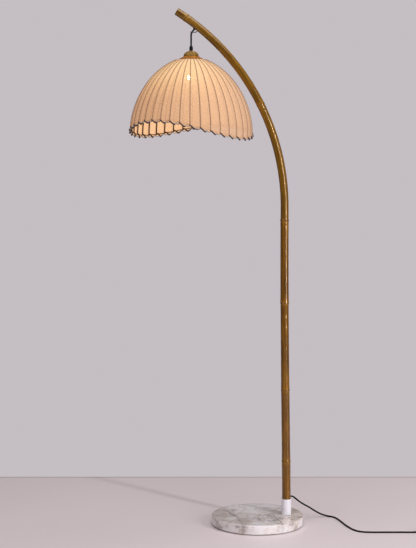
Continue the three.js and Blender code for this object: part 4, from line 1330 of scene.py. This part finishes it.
def on_outline(s):
    """The radius, the height and the outward direction (radial, up) at a distance along the outline."""
    radius, height = (float(np.interp(s, outline_s, column)) for column in (outline_r, outline_z))
    step = 0.001
    r0, r1 = (float(np.interp(s + off, outline_s, outline_r)) for off in (-step, step))
    z0, z1 = (float(np.interp(s + off, outline_s, outline_z)) for off in (-step, step))
    size = math.hypot(r1 - r0, z1 - z0)
    return radius, height, (z1 - z0) / size, (r0 - r1) / size


def outline_at(z):
    return float(np.interp(z, outline_z, outline_s))


def shade_point(angle, s, depth, narrowed=1.0):
    """A point on the dome, a depth in from the cloth's outer face. narrowed is for a flat panel's middle."""
    radius, height, outward, upward = on_outline(s)
    radius = radius * narrowed - depth * outward
    return (
        PENDANT_X + radius * math.cos(angle),
        radius * math.sin(angle),
        height - depth * upward,
    )


# Where a panel's points lie across it, and how far its edge is cut below the line from seam to seam.
ACROSS = (0, 0.08, 0.20, 0.32, 0.42, 0.56, 0.70, 0.82, 0.91, 0.96)
CUT_SHARES = (0, 0.10, 0.40, 0.90, 0.97, 1)
CUT_DROPS = (0, 0.0010, 0.0036, 0.0044, 0.0020, 0)


def edge_at(index, t):
    """Where a panel's cut edge lies along the outline, a share of the way from its seam to the next."""
    low0, low1 = (hem_height(seam_angle(index + end)) for end in (0, 1))
    return outline_at(low0 + (low1 - low0) * t) - float(np.interp(t, CUT_SHARES, CUT_DROPS))


def cloth_rings(depth, rows):
    """The points of the pleated cloth at a depth, with where each lies on the flat cloth and in its panel."""
    half = math.pi / PANELS
    top = outline_s[-1]
    rings, cloth, edges = [], [], []
    for row in range(rows + 1):
        share = row / rows
        ring = []
        for index in range(PANELS):
            for t in ACROSS:
                off = (2 * t - 1) * half
                hem = edge_at(index, t)
                s = hem + (top - hem) * share
                sag = PANEL_SAG * 4 * t * (1 - t) * math.sin(math.pi * min(1.0, 0.12 + share)) ** 0.5
                point = shade_point(
                    seam_angle(index) + half + off, s, depth + sag, math.cos(half) / math.cos(off)
                )
                radius = math.hypot(point[0] - PENDANT_X, point[1])
                ring.append(point)
                aside = radius * math.sin(off)
                cloth.append((aside + 0.31 * index, s, 0.0))
                edges.append((radius * math.sin(half) - abs(aside), s - hem, top - s))
        rings.append(ring)
    return rings, cloth, edges


def add_shade_fabric():
    rows = 44
    outer, outer_cloth, outer_edges = cloth_rings(0, rows)
    inner, inner_cloth, inner_edges = cloth_rings(FABRIC_THICKNESS, rows)
    size = PANELS * len(ACROSS)

    def down(values):
        return [value for row in range(rows, -1, -1) for value in values[row * size : (row + 1) * size]]

    cloth = outer_cloth + down(inner_cloth)
    edges = outer_edges + down(inner_edges)
    fabric = ring_piece("pleated_cloth", outer + inner[::-1], loop=True, grain=cloth)
    layer = fabric.data.attributes.new("edges", "FLOAT_VECTOR", "POINT")
    layer.data.foreach_set("vector", np.array(edges, np.float32).ravel())
    paint(fabric, LINEN, LINEN_INSIDE)
    inside_from = (rows + 1) * size
    for face in fabric.data.polygons:
        face.material_index = int(max(face.vertices) >= inside_from)
    fabric.data.set_sharp_from_angle(angle=math.radians(6))
    piece(fabric, "shade", "linen", "shade_fabric")
    return fabric


def hem_line(depth, rise, shares, cut):
    """A closed line along the hem, at the cut edge or straight from seam to seam."""
    half = math.pi / PANELS
    line = []
    for index in range(PANELS):
        low0, low1 = (hem_height(seam_angle(index + end)) for end in (0, 1))
        for t in shares:
            off = (2 * t - 1) * half
            s = edge_at(index, t) if cut else outline_at(low0 + (low1 - low0) * t)
            narrowed = math.cos(half) / math.cos(off)
            line.append(shade_point(seam_angle(index) + half + off, s + rise, depth, narrowed))
    return line


# Each whip stitch's way round the hem: (share of the panel, rise above the line, depth in the cloth).
STITCH_ROUTE = (
    (-0.06, 0.0020, -0.0012),
    (0.18, -0.0028, -0.0014),
    (0.38, -0.0064, -0.0008),
    (0.46, -0.0070, 0.0010),
    (0.54, -0.0050, 0.0028),
    (0.66, -0.0010, 0.0036),
    (0.82, 0.0030, 0.0038),
    (0.94, 0.0040, 0.0034),
)


def add_hem():
    line = hem_line(0.0006, -0.0004, ACROSS, True)
    piping = tube_piece("hem_cord", line, PIPING_RADIUS, 12, closed=True)
    paint(piping, PIPING)
    piece(piping, "shade", "piping", "hem_piping")

    strands = []
    for index in range(PANELS):
        seam = seam_angle(index)
        step = seam_angle(1) - seam_angle(0)
        hem, after = (outline_at(hem_height(angle)) for angle in (seam, seam + step))
        route = [
            shade_point(seam + share * step, hem + share * (after - hem) + rise, depth)
            for share, rise, depth in STITCH_ROUTE
        ]
        line = smooth_line(route, 4)
        ends = [0.45, 0.8] + [1.0] * (len(line) - 4) + [0.8, 0.45]
        rings = tube_rings(line, [STITCH_RADIUS * size for size in ends], 9)
        strands.append(([[line[0]], *rings, [line[-1]]], False))
    stitches = joined_piece("whip_stitches", strands)
    paint(stitches, STITCH)
    piece(stitches, "shade", "piping")

    threads = []
    for index in range(PANELS):
        seam = seam_angle(index)
        low = outline_at(hem_height(seam))
        line = [shade_point(seam, s, -0.0001) for s in np.linspace(low + 0.001, outline_s[-1] - 0.0005, 46)]
        rings = tube_rings(line, SEAM_THREAD_RADIUS, 7)
        threads.append(([[line[0]], *rings, [line[-1]]], False))
    seams = joined_piece("seam_threads", threads)
    paint(seams, SEAM_THREAD)
    piece(seams, "shade", "wrapped_wire")
    return piping, stitches, seams


def add_shade_frame():
    """Bound ribs from the hem wire up to the top ring, and a spider that the lampholder grips."""
    parts = []

    def closed_ring(line, radius, sides):
        parts.append((tube_rings(line, radius, sides, closed=True), True))

    circle = [2 * math.pi * i / 96 for i in range(96)]
    closed_ring(
        [(PENDANT_X + TOP_RING_RADIUS * math.cos(a), TOP_RING_RADIUS * math.sin(a), TOP_RING_Z) for a in circle],
        WIRE_RADIUS,
        10,
    )
    closed_ring(hem_line(WIRE_DEPTH, 0.0015, (0, 0.25, 0.5, 0.75), False), WIRE_RADIUS, 10)
    for index in range(PANELS):
        seam = seam_angle(index)
        low = outline_at(hem_height(seam)) + 0.0015
        high = outline_at(TOP_RING_Z - 0.006)
        line = [shade_point(seam, s, WIRE_DEPTH) for s in np.linspace(low, high, 26)]
        radius = math.hypot(line[-1][0] - PENDANT_X, line[-1][1])
        end_radius = TOP_RING_RADIUS
        for share in (0.5, 1.0):
            r = radius + (end_radius - radius) * share
            z = line[25][2] + (TOP_RING_Z - line[25][2]) * share**0.6
            line.append((PENDANT_X + r * math.cos(seam), r * math.sin(seam), z))
        sizes = [RIB_RADIUS] * (len(line) - 3) + [WIRE_RADIUS] * 3
        parts.append(([[line[0]], *tube_rings(line, sizes, 8), [line[-1]]], False))

    hub = softened([(0.0202, 1.4112), (0.026, 1.4112), (0.026, 1.4136), (0.0202, 1.4136), (0.0202, 1.4112)], 0.0004, 2)
    hub_rings = []
    for radius, height in hub[:-1]:
        hub_rings.append([(PENDANT_X + radius * math.cos(a), radius * math.sin(a), height) for a in circle[::2]])
    parts.append((hub_rings, True))
    for k in range(3):
        turn = 2 * math.pi * k / 3
        line = [
            (PENDANT_X + r * math.cos(turn), r * math.sin(turn), HUB_Z) for r in np.linspace(0.0245, TOP_RING_RADIUS, 6)
        ]
        parts.append(([[line[0]], *flat_rings(line, turn, 0.0042, 0.0009), [line[-1]]], False))
    wires = joined_piece("shade_wires", parts)
    paint(wires, BOUND_WIRE)
    piece(wires, "shade", "wrapped_wire", "shade_frame")
    return wires


def flat_rings(line, turn, half_width, half_height, sides=16):
    """Rings of a flat bar with round edges, along a level line in a direction."""
    aside = np.array((-math.sin(turn), math.cos(turn), 0))
    rings = []
    for point in line:
        ring = []
        for i in range(sides):
            a = 2 * math.pi * i / sides
            wide = half_width * math.copysign(abs(math.cos(a)) ** 0.4, math.cos(a))
            high = half_height * math.copysign(abs(math.sin(a)) ** 0.6, math.sin(a))
            ring.append(np.array(point) + wide * aside + np.array((0, 0, high)))
        rings.append(ring)
    return rings


# ---------------------------------------------------------------- foot switch and plug


def rounded_outline(half_length, half_width, corner, sides=48):
    """Points of a rectangle with round corners, which match a circle's point for point."""
    points = []
    per_corner = sides // 4
    for k in range(sides):
        quarter, step = divmod(k, per_corner)
        angle = math.pi / 2 * (quarter + step / (per_corner - 1))
        x = math.copysign(half_length - corner, (1, -1, -1, 1)[quarter])
        y = math.copysign(half_width - corner, (1, 1, -1, -1)[quarter])
        points.append((x + corner * math.cos(angle), y + corner * math.sin(angle)))
    return points


def stacked(outlines, centre):
    """Rings from (outline points, height) pairs, or a single (x, y) point to close an end."""
    return [
        [(centre[0] + x, centre[1] + y, centre[2] + height) for x, y in points] for points, height in outlines
    ]


def add_switch():
    x, y = SWITCH_CENTRE
    place = (x, y, 0)
    half, wide = SWITCH_HALF, SWITCH_HALF_WIDTH

    def shell(inset, corner=0.010):
        return rounded_outline(half - inset, wide - inset, max(0.002, corner - inset))

    tray = [
        ([(0, 0)], 0),
        (shell(0.0012), 0),
        (shell(0.0003), 0.0004),
        (shell(0), 0.0012),
        (shell(0), 0.0096),
        (shell(0.0003), 0.0100),
        (shell(0.0018), 0.0100),
        (shell(0.0020), 0.0097),
        (shell(0.0020), 0.0027),
        (shell(0.0024), 0.0024),
        ([(0, 0)], 0.0024),
    ]
    parts = [(stacked(tray, place), False)]
    for side in (-1, 1):
        base = x + side * (half - 0.001)
        neck = [(0.0042, 0.0), (0.0042, 0.0030)]
        for k in range(2):
            neck += [(0.0036, 0.0036 + 0.0018 * k), (0.0036, 0.0042 + 0.0018 * k), (0.0040, 0.0048 + 0.0018 * k)]
        neck += [(0.0038, 0.0086), (0.0034, 0.0090), (0, 0.0090)]
        rings = [[(base, y, SWITCH_ENTRY_Z)]]
        for radius, along in softened([(0, 0.0), *neck], 0.0002, 2)[1:]:
            count = 24 if radius > 1e-6 else 1
            circle = [2 * math.pi * i / 24 for i in range(count)]
            rings.append(
                [
                    (base + side * along, y + radius * math.cos(a), SWITCH_ENTRY_Z + radius * math.sin(a))
                    for a in circle
                ]
            )
        parts.append((rings, False))
    tray_piece = joined_piece("switch_tray", parts)
    tray_piece.data.set_sharp_from_angle(angle=math.radians(40))
    paint(tray_piece, BLACK_PLASTIC)
    piece(tray_piece, "base", "black_plastic", "switch_base")

    circle = [(math.cos(a), math.sin(a)) for a in (2 * math.pi * (k + 0.5) / 48 for k in range(48))]

    def hole(radius):
        return [(radius * cx, radius * cy) for cx, cy in circle]

    low = 0.010 + GAP
    lid = [
        (shell(0), low),
        (shell(0), 0.0128),
        (shell(0.0005), 0.0138),
        (shell(0.0016), 0.0150),
        (shell(0.0032), 0.0168),
        (shell(0.0052), 0.0186),
        (shell(0.0072, 0.012), 0.0196),
        (shell(0.0095, 0.014), 0.0200),
        (hole(0.0118), 0.0200),
        (hole(0.0104), 0.0198),
        (hole(0.0096), 0.0192),
        (hole(0.0094), 0.0186),
        (hole(0.0094), 0.0150),
        (shell(0.0060), 0.0150),
        (shell(0.0050), 0.0140),
        (shell(0.0050), low),
    ]
    cover = ring_piece("switch_lid", stacked(lid, place), loop=True)
    cover.data.set_sharp_from_angle(angle=math.radians(40))
    paint(cover, BLACK_PLASTIC)
    piece(cover, "base", "black_plastic", "switch_cover")

    button = [(0, 0.0120), (0.0104, 0.0120), (0.0104, 0.0136), (0.0090, 0.0136), (0.0090, 0.0228)]
    button += [(0.0086, 0.0238), (0.0078, 0.0245), (0.0064, 0.0247), (0.0052, 0.0242), (0.0036, 0.0239), (0, 0.0238)]
    pedal = turned("pedal_cap", softened(button, 0.0004, 2), 56, place)
    paint(pedal, BLACK_PLASTIC)
    piece(pedal, "pedal_button", "black_plastic", "switch_button")

    for name, material in (("switch_screw_1", ZINC), ("switch_screw_2", ZINC), ("switch_block", BRASS)):
        paint(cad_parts[name], material)


def add_plug():
    x = COIL_CENTRE[0] + COIL_TURN_RADIUS
    relief = [(0, 0), (0.0029, 0), (0.0031, 0.0006)]
    for k in range(5):
        at, wide = 0.0020 + 0.0028 * k, 0.0033 + 0.00024 * k
        relief += [(wide, at), (wide - 0.0005, at + 0.0005), (wide - 0.0005, at + 0.0012), (wide + 0.0001, at + 0.0017)]
    relief += [(0.0046, 0.0168), (0.0046, 0.0177), (0, 0.0177)]
    relief_place = (x, PLUG_Y, PLUG_Z)
    taper = turned("plug_taper", softened(relief, 0.0002, 2), 32, relief_place, (0, 1, 0))
    paint(taper, BLACK_PLASTIC)
    piece(taper, "base", "black_plastic", "plug_relief")

    def stadium(inset):
        return rounded_outline(0.0140 - inset, 0.0080 - inset, 0.0078 - inset)

    start = PLUG_Y + 0.018
    sections = [
        (0.0046, 0.0000),
        (0.0030, 0.0004),
        (0.0012, 0.0020),
        (0.0004, 0.0045),
        (0.0010, 0.0075),
        (0.0014, 0.0110),
        (0.0010, 0.0150),
        (0.0002, 0.0190),
        (0.0000, 0.0225),
        (0.0000, 0.0300),
        (0.0004, 0.0314),
        (0.0014, 0.0320),
    ]
    rings = [[(x, start, PLUG_Z)]]
    rings += [[(x + px, start + y, PLUG_Z + pz) for px, pz in stadium(inset)] for inset, y in sections]
    rings += [[(x, start + sections[-1][1], PLUG_Z)]]
    body = ring_piece("plug_shell", rings)
    slots = []
    for side in (-1, 1):
        centre = (x + side * 0.00635, start + 0.0290, PLUG_Z)
        slots.append(box_piece("cutter", centre, (0.0021, 0.0120, 0.0069)))
    drilled(body, *slots)
    paint(body, BLACK_PLASTIC)
    piece(body, "base", "black_plastic", "plug_body")
    for name in ("plug_blade_1", "plug_blade_2"):
        paint(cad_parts[name], BRASS)


def box_piece(name, centre, size):
    corners = [[(sx, sy, sz) for sx, sy in ((-1, -1), (1, -1), (1, 1), (-1, 1))] for sz in (-1, 1)]
    rings = [
        [tuple(c + s * d / 2 for c, s, d in zip(centre, corner, size)) for corner in level] for level in corners
    ]
    low, high = ((centre[0], centre[1], centre[2] + s * size[2] / 2) for s in (-1, 1))
    return ring_piece(name, [[low], *rings, [high]])


def add_coil_tie():
    """A strap round the coil: a flat band bent round the coil's section."""
    turn = TIE_TURN
    radial = np.array((math.cos(turn), math.sin(turn), 0))
    tangent = np.array((-math.sin(turn), math.cos(turn), 0))
    inner, outer = COIL_TURN_RADIUS - 0.0091, COIL_TURN_RADIUS + 0.0085
    low, high, round_off = 0.0005, 0.0122, 0.0022
    line = []
    for quarter, (r, z) in enumerate(((outer, high), (inner, high), (inner, low), (outer, low))):
        out = (1, -1, -1, 1)[quarter]
        up = (1, 1, -1, -1)[quarter]
        for step in range(7):
            angle = math.pi / 2 * (quarter + step / 6)
            line.append(
                (r - out * round_off + round_off * math.cos(angle), z - up * round_off + round_off * math.sin(angle))
            )
    rings = []
    for k, (r, z) in enumerate(line):
        (r0, z0), (r1, z1) = line[k - 1], line[(k + 1) % len(line)]
        size = math.hypot(r1 - r0, z1 - z0)
        out_r, out_z = (z1 - z0) / size, (r0 - r1) / size
        ring = []
        for side, thick in ((-1, -1), (1, -1), (1, 1), (-1, 1)):
            place = np.array((*COIL_CENTRE, z + thick * TIE_HALF_THICKNESS * out_z))
            along = (r + thick * TIE_HALF_THICKNESS * out_r) * radial + side * TIE_HALF_WIDTH * tangent
            ring.append(place + along)
        rings.append(ring)
    tie = ring_piece("coil_strap", rings, loop=True)
    tie.data.set_sharp_from_angle(angle=math.radians(50))
    paint(tie, STRAP)
    piece(tie, "base", "felt", "coil_tie")
    return tie


# ---------------------------------------------------------------- floor, light and world


def add_floor():
    near, far, side = -4.0, FLOOR_EDGE_Y, 4.0
    data = bpy.data.meshes.new("floor")
    corners = [(-side, near, 0), (side, near, 0), (side, far, 0), (-side, far, 0)]
    data.from_pydata(corners, [], [(0, 1, 2, 3)])
    floor = link("floor", data)
    material, tree, shader = shader_of("pale_floor", FLOOR_SHADE, 0.42, specular=0.25)
    place = object_place(tree)
    soft = noise(tree, place, 1.6, 3.0)
    low, high = (tuple(channel * share for channel in FLOOR_SHADE[:3]) for share in (0.97, 1.03))
    tone = ramp(tree, soft, (0.3, colour(*low)), (0.7, colour(*high)))
    _, y, _ = apart(tree, place)
    # A painted shadow line along the floor's far edge, where a wall would meet it.
    wall_foot_shadow = maths(tree, "MULTIPLY", span(tree, y, FLOOR_EDGE_Y - 0.020, FLOOR_EDGE_Y - 0.004), 0.45)
    tone = mixed(tree, wall_foot_shadow, tone, colour(0.18, 0.14, 0.14))
    wired(tree, shader, base_color=tone)
    bumped(tree, shader, noise(tree, place, 40.0, 3.0), 0.0004, 0.3)
    paint(floor, material)


def add_softbox(name, azimuth, distance, height, size, power, shade, aim_z=0.8):
    """A soft area light. Azimuth is in degrees from the camera's side, to the right."""
    data = bpy.data.lights.new(name, "AREA")
    data.shape = "RECTANGLE"
    data.size, data.size_y = size
    data.energy = power
    data.color = shade
    light = bpy.data.objects.new(name, data)
    around = math.radians(azimuth)
    light.location = (distance * math.sin(around), -distance * math.cos(around), height)
    aim = Vector((0, 0, aim_z)) - light.location
    light.rotation_euler = aim.to_track_quat("-Z", "Y").to_euler()
    bpy.context.scene.collection.objects.link(light)


def add_world():
    """A pale backdrop behind the lamp that lights it only softly."""
    world = bpy.data.worlds.new("studio")
    world.use_nodes = True
    tree = world.node_tree
    backdrop = tree.nodes["Background"]
    backdrop.inputs["Color"].default_value = BACKDROP_SHADE
    sky = node(tree, "ShaderNodeBackground", {"Color": BACKDROP_SHADE, "Strength": SKY_STRENGTH})
    seen = node(tree, "ShaderNodeLightPath").outputs["Is Camera Ray"]
    inputs = {0: seen, 1: sky.outputs[0], 2: backdrop.outputs[0]}
    both = node(tree, "ShaderNodeMixShader", inputs).outputs[0]
    tree.links.new(both, tree.nodes["World Output"].inputs["Surface"])
    bpy.context.scene.world = world
    bpy.context.scene.view_settings.view_transform = "Standard"


# ---------------------------------------------------------------- the lamp

add_camera()
cords = add_mains_flex()
for cord in cords:
    paint(cord, BLACK_FLEX)
add_base()
add_pole()
add_arch()
add_hook()
add_pendant_flex()
add_cap()
add_lampholder()
add_bulb()
fabric = add_shade_fabric()
hem_pieces = add_hem()
wires = add_shade_frame()
add_switch()
add_plug()
add_coil_tie()

add_floor()
add_softbox("tall_softbox", 46, 3.6, 1.45, (0.17, 2.4), 84, (1.0, 0.98, 1.0), aim_z=1.0)
add_softbox("broad_softbox", -38, 3.4, 2.3, (2.2, 2.2), 20, (1.0, 0.96, 0.98))
add_softbox("top_softbox", 20, 0.6, 3.6, (3.0, 3.0), 88, (1.0, 0.97, 0.98))
add_world()
